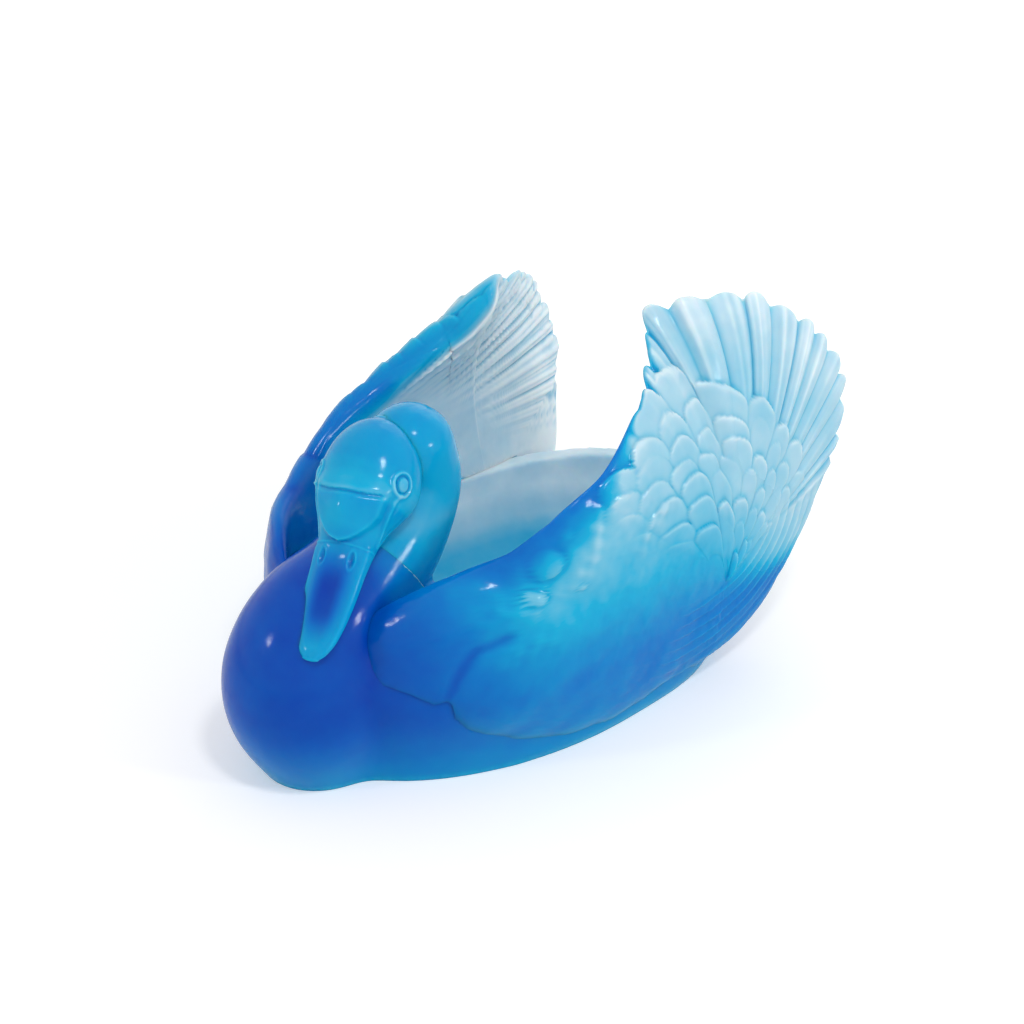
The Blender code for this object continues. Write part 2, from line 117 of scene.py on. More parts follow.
# angle, reach from the hub, lean of the edge out of the flank, edge thickness, how far the edge
# bends in to end in the body, and how square it is
FAN_STATIONS = (
    (0, 73, -6, 6, 0, 20), (22, 92, -2, 5, 0, 20), (42, 129, 0, 4, 0, 20), (60, 147, -6, 4, 0, 20),
    (76, 157.5, -25, 4, 0, 20), (90, 158.5, -43, 4, 0, 20))
LEFT_ARM = (
    (97, 149, -58.5, 4.5, 0, 20), (103, 139, -44, 5, 0, 20), (114, 127, -28.5, 5.5, 0, 16),
    (135, 130, -15, 8, 0, 10), (150, 145, -16, 15, -1, 7), (158, 154, -21, 26, -4, 6),
    (164, 168, -31, 40, -7, 6), (170, 188, -32, 46, -11, 6), (177, 203, -26, 38, -16, 6),
    (186, 206, -12, 22, -21, 6))
RIGHT_ARM = (
    (97, 149, -53, 8, 0, 20), (103, 139, -54, 25, 0, 20), (114, 127, -42, 32, 0, 16),
    (135, 130, -26, 30, 0, 9), (156, 155, -20, 26, 0, 8), (162, 173, -22, 24, -2, 7),
    (166, 192, -23, 22, -7, 7), (174, 202, -18, 20, -18, 6), (184, 200, -10, 16, -24, 6))
FLANK_STATIONS = (
    (194, 184, -7, 13, -18, 6), (210, 124, -6.5, 11, -10, 7), (235, 72.5, -8, 10, -8, 9),
    (270, 58, -10, 10, -5, 12), (300, 60, -11, 8, -1, 15), (332, 66, -10, 7, 0, 20))
WING_STATIONS = {
    1: np.array(FAN_STATIONS + LEFT_ARM + FLANK_STATIONS, float),
    -1: np.array(FAN_STATIONS + RIGHT_ARM + FLANK_STATIONS, float)}

# Neck: Y, Z and radius in the middle plane, from under the foot to the nape
NECK_LINE = np.array((
    (-121, -12, 27), (-127, 14, 37), (-132, 38, 44), (-132, 58, 43.5), (-121, 77, 38),
    (-96, 93, 32), (-71, 113, 27), (-57, 136, 24), (-60, 156, 23.5)), float)
NECK_SEAT_AT = 5.45
NECK_SIDES = 96

# Head: sections along the line from the skull's centre to the beak's tip
SKULL_CENTRE = np.array((0, -83, 155), float)
BEAK_TIP = np.array((31, -154, 82), float)
# distance along the line, half width, height above it, depth below it
HEAD_SECTIONS = np.array((
    (-21, 9, 8, 8), (-16, 16.5, 14, 14), (-7, 22.5, 19, 19), (4, 25.5, 21, 21),
    (16, 26, 20, 20), (27, 23, 17, 16), (36, 18.5, 13.5, 12), (46, 15.5, 11, 9),
    (60, 14, 9, 7), (78, 13, 7, 5.5), (92, 11, 5, 4), (101, 8, 3.5, 3), (105, 4.5, 2, 2)), float)
HEAD_SIDES = 192


# Curves and fields, all on arrays

def ease(t):
    """A smooth step from 0 to 1 as t goes from 0 to 1."""
    t = np.clip(t, 0.0, 1.0)
    return t * t * (3 - 2 * t)


def spline(a, b, c, d, t):
    """The Catmull-Rom curve from b to c."""
    return b + 0.5 * t * (c - a + t * (2 * a - 5 * b + 4 * c - d + t * (3 * (b - c) + d - a)))


def along_table(table, at):
    """Rows of a table read between its rows, at a row number that may be a fraction."""
    last = len(table) - 1
    i = np.clip(np.floor(at).astype(int), 0, last - 1)
    picks = [table[np.clip(i + k, 0, last)] for k in (-1, 0, 1, 2)]
    return spline(*picks, (at - i)[:, None])


def flank_half_width(z):
    climb = np.minimum(z / FLARE_HEIGHT, 1.0)
    return FOOT_HALF_WIDTH + (SHOULDER_HALF_WIDTH - FOOT_HALF_WIDTH) * (1 - (1 - climb) ** 2)


def hull_front(z):
    swell = FOOT_FRONT + (SHOULDER_FRONT - FOOT_FRONT) * ease(z / RIM_HEIGHT)
    return swell + (RIM_FRONT - SHOULDER_FRONT) * ease((z - 0.6 * RIM_HEIGHT) / (0.4 * RIM_HEIGHT))


def front_power(z):
    return 2.0 + ease(z / RIM_HEIGHT)


def flank(y, z):
    """The wing's outer face before it leans: its X at a place on the flank."""
    power = front_power(z)
    forward = np.clip((HULL_WIDEST_Y - y) / SHOULDER_FRONT, 0.0, 0.97)
    return flank_half_width(z) * (1 - forward ** power) ** (1 / power)


def egg(half_width, front, rear, power, z, rise=0.0):
    """One ring of the body: a superellipse, sharper or blunter at its front."""
    angle = 2 * np.pi * (np.arange(HULL_SIDES) + 0.5) / HULL_SIDES
    across, along = np.cos(angle), np.sin(angle)
    bend = np.where(along < 0, power, 3.2)
    reach = np.where(along < 0, front, rear)
    x = np.copysign(half_width * np.abs(across) ** (2 / bend), across)
    y = np.copysign(reach * np.abs(along) ** (2 / bend), along)
    lift = np.where(along > 0, TAIL_RISE * along ** 6, BREAST_RISE * along ** 4)
    return np.stack([x, HULL_WIDEST_Y + y, z + lift * rise], 1)


def hull_rings(grow=0.0, count=44):
    """Rings up the outside of the hull, from below the foot to the rim."""
    rings = []
    for step in np.concatenate([[-0.1], np.linspace(0.0, 1.0, count)]):
        z = max(step, 0.0) * RIM_HEIGHT
        foot = FOOT_ROUND * (1 - min(max(step, 0.0) / 0.07, 1.0)) ** 2
        rear = FOOT_REAR + (RIM_REAR - FOOT_REAR) * ease(step)
        rings.append(egg(
            flank_half_width(z) - LAP - foot + grow, hull_front(z) - foot + grow,
            rear - foot + grow, front_power(z),
            step * RIM_HEIGHT + (grow if step == 1.0 else 0.0), ease((step - 0.25) / 0.75)))
    return rings


def hollow_rings(count=40):
    """Rings down the inside of the bowl, from the rim to the floor."""
    rim = flank_half_width(RIM_HEIGHT) - LAP - WALL
    rings = []
    for turn in np.linspace(0, 84, count):
        down, inward = math.sin(math.radians(turn)), 1 - math.cos(math.radians(turn))
        rings.append(egg(
            rim + (FLOOR_HALF_WIDTH - rim) * inward,
            HOLLOW_FRONT + (FLOOR_HALF_WIDTH - HOLLOW_FRONT) * inward,
            (RIM_REAR - WALL) + (FLOOR_HALF_WIDTH * 1.5 - RIM_REAR + WALL) * inward,
            2.3, RIM_HEIGHT + (FLOOR_HEIGHT - RIM_HEIGHT) * down, (1 - down) ** 2))
    return rings


# Meshes

def skin(name, rings, start, end):
    """Skin rings of equal count and close the skin at a point at each end; millimetres in."""
    rings = np.asarray(rings, float)
    count, sides = rings.shape[:2]
    points = np.concatenate([rings.reshape(-1, 3), [start, end]]) * MM
    i = np.arange(sides)
    j = (i + 1) % sides
    faces = []
    for k in range(count - 1):
        low, high = k * sides, (k + 1) * sides
        faces += np.stack([low + i, low + j, high + j, high + i], 1).tolist()
    top = (count - 1) * sides
    first, last = count * sides, count * sides + 1
    faces += np.stack([j, i, np.full(sides, first)], 1).tolist()
    faces += np.stack([top + i, top + j, np.full(sides, last)], 1).tolist()
    mesh = bpy.data.meshes.new(name)
    mesh.from_pydata(points.tolist(), [], faces)
    turn_outwards(mesh)
    return mesh


def turn_outwards(mesh, merge=0.0):
    """Merge doubles where asked, and point the faces of a closed mesh outwards."""
    bm = bmesh.new()
    bm.from_mesh(mesh)
    if merge:
        bmesh.ops.remove_doubles(bm, verts=bm.verts, dist=merge)
        bmesh.ops.dissolve_degenerate(bm, edges=bm.edges, dist=merge)
    bmesh.ops.recalc_face_normals(bm, faces=bm.faces)
    if bm.calc_volume(signed=True) < 0:
        bmesh.ops.reverse_faces(bm, faces=bm.faces)
    bm.to_mesh(mesh)
    bm.free()


def add_object(name, mesh):
    piece = bpy.data.objects.new(name, mesh)
    bpy.context.scene.collection.objects.link(piece)
    return piece


def bake_modifiers(piece):
    """Keep what an object's modifiers make as its plain mesh."""
    bpy.context.view_layer.update()
    graph = bpy.context.evaluated_depsgraph_get()
    mesh = bpy.data.meshes.new_from_object(piece.evaluated_get(graph))
    piece.modifiers.clear()
    old = piece.data
    piece.data = mesh
    bpy.data.meshes.remove(old)


def cut(piece, cutter, operation='DIFFERENCE'):
    boolean = piece.modifiers.new("Cut", 'BOOLEAN')
    boolean.operation = operation
    boolean.object = cutter
    boolean.solver = 'MANIFOLD'
    bake_modifiers(piece)
    if not piece.data.polygons:
        raise RuntimeError(f"nothing is left of {piece.name} after {operation.lower()}")


def drop(*objects):
    for item in objects:
        bpy.data.objects.remove(item)


def points_of(mesh):
    co = np.empty(len(mesh.vertices) * 3, np.float32)
    mesh.vertices.foreach_get("co", co)
    return co.reshape(-1, 3).astype(float)


def normals_of(mesh):
    no = np.empty(len(mesh.vertices) * 3, np.float32)
    mesh.vertices.foreach_get("normal", no)
    return no.reshape(-1, 3).astype(float)


def move_points(mesh, points):
    mesh.vertices.foreach_set("co", np.ascontiguousarray(points, np.float32).ravel())
    mesh.update()


def paint(mesh, name, values):
    """Store one number for each point, for the glass to read."""
    layer = mesh.attributes.get(name) or mesh.attributes.new(name, 'FLOAT', 'POINT')
    layer.data.foreach_set("value", np.clip(values, 0.0, 1.0).astype(np.float32))


def smoothed(mesh, rounds, weight=1.0):
    """The mesh's points, drawn towards their neighbours a number of times."""
    points = points_of(mesh)
    ends = np.empty(2 * len(mesh.edges), np.int32)
    mesh.edges.foreach_get("vertices", ends)
    one, other = ends.reshape(-1, 2).T
    total = len(points)
    around = np.maximum(np.bincount(ends, minlength=total), 1)
    for _ in range(rounds):
        for axis in range(3):
            column = points[:, axis]
            mean = np.bincount(one, column[other], total) + np.bincount(other, column[one], total)
            points[:, axis] = column + 0.5 * weight * (mean / around - column)
    return points


def sunk(mesh, rounds):
    """How far each point lies under the smoothed surface, in millimetres; above it is negative."""
    return ((smoothed(mesh, rounds) - points_of(mesh)) * normals_of(mesh)).sum(1) / MM


def keep_in_box(mesh):
    """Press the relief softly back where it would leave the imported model's box at the sides."""
    points = points_of(mesh)
    low, high = (np.array(corner)[:2] for corner in CAD_BOX)
    margin = 2 * MM
    for sign, limit in ((1, high), (-1, -low)):
        over = np.maximum(sign * points[:, :2] - (limit - margin), 0)
        points[:, :2] -= sign * (over - 0.9 * margin * np.tanh(over / margin))
    move_points(mesh, points)


def smooth_faces(mesh, degrees):
    mesh.shade_smooth()
    mesh.set_sharp_from_angle(angle=math.radians(degrees))


# Head

def head_axes():
    """The head's own axes: towards the beak's tip, across, and up."""
    ahead = BEAK_TIP - SKULL_CENTRE
    length = np.linalg.norm(ahead)
    ahead = ahead / length
    up = np.array((0.0, 0.0, 1.0)) - ahead[2] * ahead
    up /= np.linalg.norm(up)
    return ahead, np.cross(ahead, up), up, length


def bell(value, middle, width):
    return np.exp(-((value - middle) / width) ** 2)


def line_distance(s, h, corners):
    """Distance from places to a line through corners, all in one plane."""
    best = np.full(s.shape, 1e9)
    for (s0, h0), (s1, h1) in zip(corners, corners[1:]):
        t = ((s - s0) * (s1 - s0) + (h - h0) * (h1 - h0)) / ((s1 - s0) ** 2 + (h1 - h0) ** 2)
        t = np.clip(t, 0, 1)
        best = np.minimum(best, np.hypot(s - s0 - t * (s1 - s0), h - h0 - t * (h1 - h0)))
    return best


def head_relief(s, u, h, half_width):
    """Height of the head's carving over its plain form, by place along, across and up."""
    side = np.abs(u)
    top = ease(h / 4 + 0.5)
    # the cap of the crown runs down into a rounded tongue over the root of the beak
    tongue_half = np.interp(
        s, (-10, 14, 22, 27, 32, 38, 43, 46, 47.6), (26, 22, 19, 17.8, 16.5, 13.2, 9.2, 5.5, 0))
    inside = np.where(s < 47.6, (tongue_half - side) / 1.25, 47.6 - s)
    relief = 2.6 * ease((s - 12) / 14) * ease(inside / 3.2 + 0.4) * top
    # brow
    brow = 24.5 - 0.010 * u * u
    brow_fade = ease((18.5 - side) / 4) * top
    relief += brow_fade * (0.5 * np.where(s < brow, np.exp((s - brow) / 6), 0)
                           - 1.1 * bell(s, brow + 0.6, 1.3))
    # eyes, with a lid and a fold that runs from the inner corner to the root of the beak
    flank_side = ease((side - 10) / 6) * ease((h + 3) / 4)
    eye = np.hypot((s - 13.5) / 4.6, (h - 9.4 + 0.12 * (s - 13.5)) / 3.2)
    relief += flank_side * (
        1.2 * np.sqrt(np.clip(1 - (eye / 0.8) ** 2, 0, 1)) - 0.7 * bell(eye, 0.95, 0.14)
        + 0.9 * bell(eye, 1.28, 0.2))
    fold = line_distance(s, h, ((18.5, 8.2), (23, 8.8), (29, 7.2), (37, 3.4), (45, 0.4)))
    relief += 0.7 * np.exp(-(fold / 0.9) ** 2) * ease((side - 8) / 5)
    # cheeks
    relief += 1.4 * bell(s, 15, 11) * bell(h, -7, 7) * ease((side - 8) / 6)
    # beak: nostrils, a rim along each edge, the gape and the nail
    nostril = np.hypot((s - 55.5) / 3.8, (side - 8.0) / 1.5)
    relief += top * (0.5 * bell(nostril, 1.25, 0.35) - 1.5 * np.exp(-nostril ** 2))
    beak = ease((s - 45) / 8) * (1 - ease((s - 97) / 6))
    relief += 1.0 * beak * bell(side / half_width, 0.93, 0.09) * ease(h / 2 + 0.8)
    relief -= 0.8 * ease((s - 30) / 8) * (1 - ease((s - 98) / 5)) * bell(h, -1.0, 0.7) * ease(
        (side / half_width - 0.6) / 0.2)
    relief += 0.7 * bell(s, 101, 3.6) * bell(u, 0, 3.6) * top
    return relief


def head_mesh(name):
    """The skull, knob and beak as rings along the beak's line, with their carving."""
    ahead, across, up, length = head_axes()
    rows = along_table(HEAD_SECTIONS, np.linspace(0, len(HEAD_SECTIONS) - 1, 230))
    first, last = rows[0], rows[-1]
    turn = np.radians((80, 65, 50, 35, 18))
    nape = [(first[0] - 0.35 * first[1] * math.sin(t), *(first[1:] * math.cos(t))) for t in turn]
    end = [(last[0] + (length - last[0]) * math.sin(t), *(last[1:] * math.cos(t)))
           for t in turn[::-1]]
    rows = np.concatenate([nape, rows, end])
    angle = 2 * np.pi * np.arange(HEAD_SIDES) / HEAD_SIDES
    s = np.repeat(rows[:, :1], HEAD_SIDES, 1)
    half_width = rows[:, 1:2]
    u = half_width * np.cos(angle)
    h = np.where(np.sin(angle) > 0, rows[:, 2:3], rows[:, 3:4]) * np.sin(angle)
    top = np.sin(angle) > 0
    knob = 3.6 * bell(s, 33, 9) * bell(u, 0, 9)
    trough = 2.5 * ease((s - 44) / 13.2) * rows[:, 2:3] / 9
    trough = trough * np.exp(-(u / (0.45 * half_width)) ** 2)
    height = h + np.where(top, knob - trough, 0.0)
    rings = (SKULL_CENTRE + s[..., None] * ahead + u[..., None] * across + height[..., None] * up)
    start = SKULL_CENTRE + (first[0] - 0.35 * first[1]) * ahead
    mesh = skin(name, rings, start, SKULL_CENTRE + length * ahead)
    relief = head_relief(s, u, h, np.repeat(half_width, HEAD_SIDES, 1)).ravel()
    lift = np.concatenate([relief, [0.0, 0.0]])
    move_points(mesh, points_of(mesh) + normals_of(mesh) * lift[:, None] * MM)
    return mesh


# Neck

def neck_rings(grow=0.0):
    """Rings along the neck, closed at the nape by a dome."""
    line = along_table(NECK_LINE, np.linspace(0, len(NECK_LINE) - 1, 120))
    centre, radius = line[:, :2], line[:, 2] + grow
    tangent = np.gradient(centre, axis=0)
    tangent /= np.linalg.norm(tangent, axis=1)[:, None]
    end, way, size = centre[-1], tangent[-1], radius[-1]
    turn = np.radians((12, 24, 36, 48, 60, 72, 82))
    centre = np.concatenate([centre, end + size * np.sin(turn)[:, None] * way])
    tangent = np.concatenate([tangent, np.repeat(way[None], len(turn), 0)])
    radius = np.concatenate([radius, size * np.cos(turn)])
    angle = 2 * np.pi * np.arange(NECK_SIDES) / NECK_SIDES
    rings = np.zeros((len(centre), NECK_SIDES, 3))
    rings[..., 0] = radius[:, None] * np.cos(angle)
    rings[..., 1] = centre[:, :1] - radius[:, None] * np.sin(angle) * tangent[:, 1:]
    rings[..., 2] = centre[:, 1:] + radius[:, None] * np.sin(angle) * tangent[:, :1]
    start = (0, *centre[0])
    return rings, start, (0, *(end + size * way))


def neck_mesh(name, grow=0.0):
    rings, start, end = neck_rings(grow)
    return skin(name, rings, start, end)


def seat_box(name, slip):
    """A box that holds all of the neck above its seat on the breast."""
    y, z, radius = map(float, along_table(NECK_LINE, np.array([NECK_SEAT_AT]))[0])
    y_on, z_on, _ = map(float, along_table(NECK_LINE, np.array([NECK_SEAT_AT + 0.05]))[0])
    way = Vector((0, y_on - y, z_on - z)).normalized()
    back = Vector((0, way.z, -way.y))
    seat = Vector((0, y, z)) - slip * way
    corners = []
    for up in (0, 120):
        for x, b in ((-1.5, -2.5), (1.5, -2.5), (1.5, 1.5), (-1.5, 1.5)):
            corners.append((seat + up * way + radius * (Vector((x, 0, 0)) + b * back)) * MM)
    mesh = bpy.data.meshes.new(name)
    mesh.from_pydata(corners, [], [
        (0, 1, 2, 3), (4, 5, 6, 7), (0, 1, 5, 4), (1, 2, 6, 5), (2, 3, 7, 6), (3, 0, 4, 7)])
    turn_outwards(mesh)
    return mesh


# Wings

def wing_station(angle, side):
    """Reach, lean, edge thickness, bend and squareness at any angles round the hub."""
    table = WING_STATIONS[side]
    angle = np.mod(angle, 360)
    i = np.searchsorted(table[:, 0], angle, side='right') - 1
    picks = [table[(i + k) % len(table)] for k in (-1, 0, 1, 2)]
    gap = np.mod(picks[2][..., 0] - picks[1][..., 0], 360)
    t = np.mod(angle - picks[1][..., 0], 360) / gap
    reach, lean, edge, bend, square = (
        spline(*(pick[..., k] for pick in picks), t) for k in range(1, 6))
    lowered = ease(angle / FAN_END * 1.6) * ease((FAN_END - angle) / 10)
    return reach - FAN_DROP[side] * lowered, lean, edge, bend, square


def wing_middle(y, z, side):
    """X of the wing's middle surface over a place on the flank, and the thickness there."""
    angle = np.degrees(np.arctan2(z - HUB_Z, y - HUB_Y))
    reach, lean, edge, bend, _ = wing_station(angle, side)
    out = np.minimum(np.hypot(y - HUB_Y, z - HUB_Z) / reach, 1.1)
    hold = np.minimum(out, 1.0) ** (1.4 + 3.6 * ease((edge - 8) / 20))
    thickness = WING_ROOT + (edge - WING_ROOT) * hold
    x = flank(y, np.maximum(z, 0.0)) - thickness / 2 + (lean + edge / 2) * out ** 3
    power = BEND_POWER + (FLANK_POWER - BEND_POWER) * ease((np.mod(angle, 360) - 176) / 44)
    return x + bend * np.minimum(out, 1.04) ** power, thickness


def uneven(angle):
    """Angles spread unevenly, so that no two feathers are as wide as each other."""
    broad = 0.9 * np.sin(np.radians(9.3 * angle + 130))
    return angle + broad + 0.7 * np.sin(np.radians(23 * angle))


def feather_frame(y, z, angle, distance, side):
    """Where places lie among the feathers: angle of their feather's tip, and distance out."""
    if side == 1:
        return angle, distance
    tip_angle = np.linspace(-40, FAN_END, 300)
    reach = wing_station(tip_angle, side)[0]
    tip_y = HUB_Y + reach * np.cos(np.radians(tip_angle)) - SWEEP_ROOT[0]
    tip_z = HUB_Z + reach * np.sin(np.radians(tip_angle)) - SWEEP_ROOT[1]
    tip_turn = np.maximum.accumulate(np.degrees(np.arctan2(tip_z, tip_y)))
    turn = np.degrees(np.arctan2(z - SWEEP_ROOT[1], y - SWEEP_ROOT[0]))
    swept = np.interp(turn, tip_turn, tip_angle) + 0.6 * np.maximum(turn - tip_turn[-1], 0.0)
    run = np.hypot(y - SWEEP_ROOT[0], z - SWEEP_ROOT[1])
    share = run / np.interp(swept, tip_angle, np.hypot(tip_y, tip_z))
    return swept, share * np.interp(swept, tip_angle, reach)


def edge_cut(angle, side):
    """How much shorter than its plain reach the wing is at an angle: rounded feather tips."""
    spread = uneven(angle)
    count = (spread - FAN_START) / (FAN_END - FAN_START) * FAN_FEATHERS
    place, number = 2 * np.mod(count, 1.0) - 1, np.floor(count).astype(int)
    worn = np.random.default_rng(11 + side).uniform(0.0, 3.0, 40)
    fan = TIP_ROUND * np.abs(place) ** 2.5 + worn[np.clip(number, 0, 39)] * (1 - place ** 8)
    end = FAN_END + (24 if side > 0 else 5)
    fan = fan * ease((angle - FAN_START + 6) / 8) * ease((end - angle) / 18)
    return np.where((angle > FAN_START - 6) & (angle < end), fan, 0.0)


def flank_relief(y, z, spread):
    """Marks of the casting on the shoulder: bubbles, a rough ridge and a curved groove."""
    height = np.zeros_like(y)
    for at_y, at_z, radius, rise in BUBBLES:
        away = np.hypot(y - at_y, z - at_z) / radius
        height += rise * (np.sqrt(np.clip(1 - away ** 2, 0, 1)) - 0.2 * bell(away, 1.12, 0.16)
                          + 0.25 * bell(away, 1.5, 0.2) * (y < at_y))
    groove = line_distance(y, z, GROOVE)
    height -= 2.0 * np.exp(-(groove / 2.6) ** 2)
    for ridge in RIDGES:
        away = line_distance(y, z, ridge)
        ripple = 0.65 + 0.35 * np.sin(0.55 * y + 0.3 * z) * np.sin(0.45 * z - 0.2 * y)
        height += 1.2 * ripple * np.exp(-(away / 5.0) ** 2)
    return height * spread


def wing_columns():
    fan = np.linspace(FAN_START, FAN_END + 24, 14 * 16, endpoint=False)
    arm = np.linspace(FAN_END + 24, ARM_END, 60, endpoint=False)
    span = 360 - ARM_END + FAN_START
    flank_part = ARM_END + span * np.linspace(0, 1, 112, endpoint=False) ** 1.4
    return np.concatenate([fan, arm, flank_part])


def wing_mesh(name, side):
    """A wing without its feathers: a middle surface, thickened and closed round its edge."""
    angle = wing_columns()
    power = wing_station(angle, side)[4]
    outside, inside = np.linspace(0.03, 0.855, 100)[:, None], np.linspace(0.85, 0.06, 64)[:, None]
    first = np.arcsin(0.86 ** (power / 2))
    turn = first + np.linspace(0, 1, 46)[:, None] * (np.pi - 2 * first)
    out = np.concatenate([outside + 0 * power, np.sin(turn) ** (2 / power), inside + 0 * power])
    face = np.concatenate([
        np.sqrt(1 - outside ** power), np.cos(turn), -np.sqrt(1 - inside ** power)])
    angle = np.repeat(angle[None], len(out), 0)
    turned = np.mod(angle + 90, 360) - 90
    reach = wing_station(angle, side)[0]
    distance = out * reach - edge_cut(turned, side) * ease((out - 0.7) / 0.3)
    y = HUB_Y + distance * np.cos(np.radians(angle))
    z = HUB_Z + distance * np.sin(np.radians(angle))
    x, thickness = wing_middle(y, z, side)
    step = 0.5

    def surface(at_y, at_z):
        middle, thick = wing_middle(at_y, at_z, side)
        return middle + (thick / 2 if side < 0 else 0)

    slope_y = (surface(y + step, z) - surface(y - step, z)) / (2 * step)
    slope_z = (surface(y, z + step) - surface(y, z - step)) / (2 * step)
    normal = np.stack([np.ones_like(x), -slope_y, -slope_z], -1)
    normal /= np.linalg.norm(normal, axis=-1)[..., None]
    rise = flank_relief(y, z, np.clip(face, 0, 1) ** 2 * ease((1 - out) / 0.06))
    points = np.stack([x, y, z], -1) + (face * thickness / 2 + rise)[..., None] * normal
    hub_x, hub_thickness = wing_middle(np.array([HUB_Y + 0.01]), np.array([HUB_Z]), side)
    ends = [(hub_x[0] + f * hub_thickness[0] / 2, HUB_Y, HUB_Z) for f in (1, -1)]
    flip = np.array((side, 1, 1))
    mesh = skin(name, points * flip, np.array(ends[0]) * flip, np.array(ends[1]) * flip)
    feather, run = feather_frame(y, z, turned, distance, side)
    for layer, values, ends in (
            ("hub_angle", turned, (0, 0)), ("reach_share", out, (0, 0)), ("face", face, (1, -1)),
            ("fan_angle", uneven(feather), (0, 0)), ("fan_distance", run, (0, 0)),
            ("low_radius", np.hypot(y - LOW_CENTRE[0], z - LOW_CENTRE[1]), (50, 50)),
            ("low_angle", np.degrees(np.arctan2(z - LOW_CENTRE[1], y - LOW_CENTRE[0])), (0, 0))):
        store = mesh.attributes.new(layer, 'FLOAT', 'POINT')
        store.data.foreach_set("value", np.concatenate([values.ravel(), ends]).astype(np.float32))
    return mesh


class Field:
    """A number at every point of a mesh, worked out by nodes; arithmetic adds nodes."""

    def __init__(self, tree, socket):
        self.tree = tree
        self.socket = socket

    def math(self, operation, *others):
        node = self.tree.nodes.new('ShaderNodeMath')
        node.operation = operation
        for slot, value in zip(node.inputs, (self, *others)):
            if isinstance(value, Field):
                self.tree.links.new(value.socket, slot)
            else:
                slot.default_value = value
        return Field(self.tree, node.outputs[0])

    def __add__(self, other):
        return self.math('ADD', other)

    __radd__ = __add__

    def __sub__(self, other):
        return self.math('SUBTRACT', other)

    def __rsub__(self, other):
        return (self * -1.0) + other

    def __mul__(self, other):
        return self.math('MULTIPLY', other)

    __rmul__ = __mul__

    def __truediv__(self, other):
        return self.math('DIVIDE', other)

    def __abs__(self):
        return self.math('ABSOLUTE')

    def power(self, other):
        return self.math('POWER', other)

    def bell(self, middle, width):
        part = (self - middle) / width
        return (part * part * -1.0).math('EXPONENT')

    def ease(self):
        node = self.tree.nodes.new('ShaderNodeMapRange')
        node.interpolation_type = 'SMOOTHSTEP'
        self.tree.links.new(self.socket, node.inputs["Value"])
        return Field(self.tree, node.outputs["Result"])

    def mix(self, other, share):
        """This field, giving way to another as share goes from 0 to 1."""
        return self + (other - self) * share

    def chance(self, low, high, seed):
        """A random number that stays the same for the same whole number."""
        node = self.tree.nodes.new('FunctionNodeRandomValue')
        node.data_type = 'FLOAT'
        sockets = {s.identifier: s for s in node.inputs}
        sockets["Min_001"].default_value = low
        sockets["Max_001"].default_value = high
        self.tree.links.new(self.socket, sockets["ID"])
        self.tree.links.new(seed.socket, sockets["Seed"])
        out = next(s for s in node.outputs if s.identifier == "Value_001")
        return Field(self.tree, out)


def feather_count(angle, start, end, count, shift=0.0):
    """The number of a feather in a row, and the place across it from -1 to 1."""
    along = (angle - start) * (count / (end - start)) + shift
    return along.math('FLOOR'), along.math('FRACT') * 2.0 - 1.0


COVERT_FROM = 30
COVERT_TO = 150
COVERT_SLANT = 0.7
# how far out each row of scales reaches at 88 degrees, and how many scales it has
COVERT_ROWS = ((108, 9), (94, 10), (81, 9), (68, 9), (54, 7), (40, 6), (26, 5))
ARM_BLADES = (128, 143, 158)


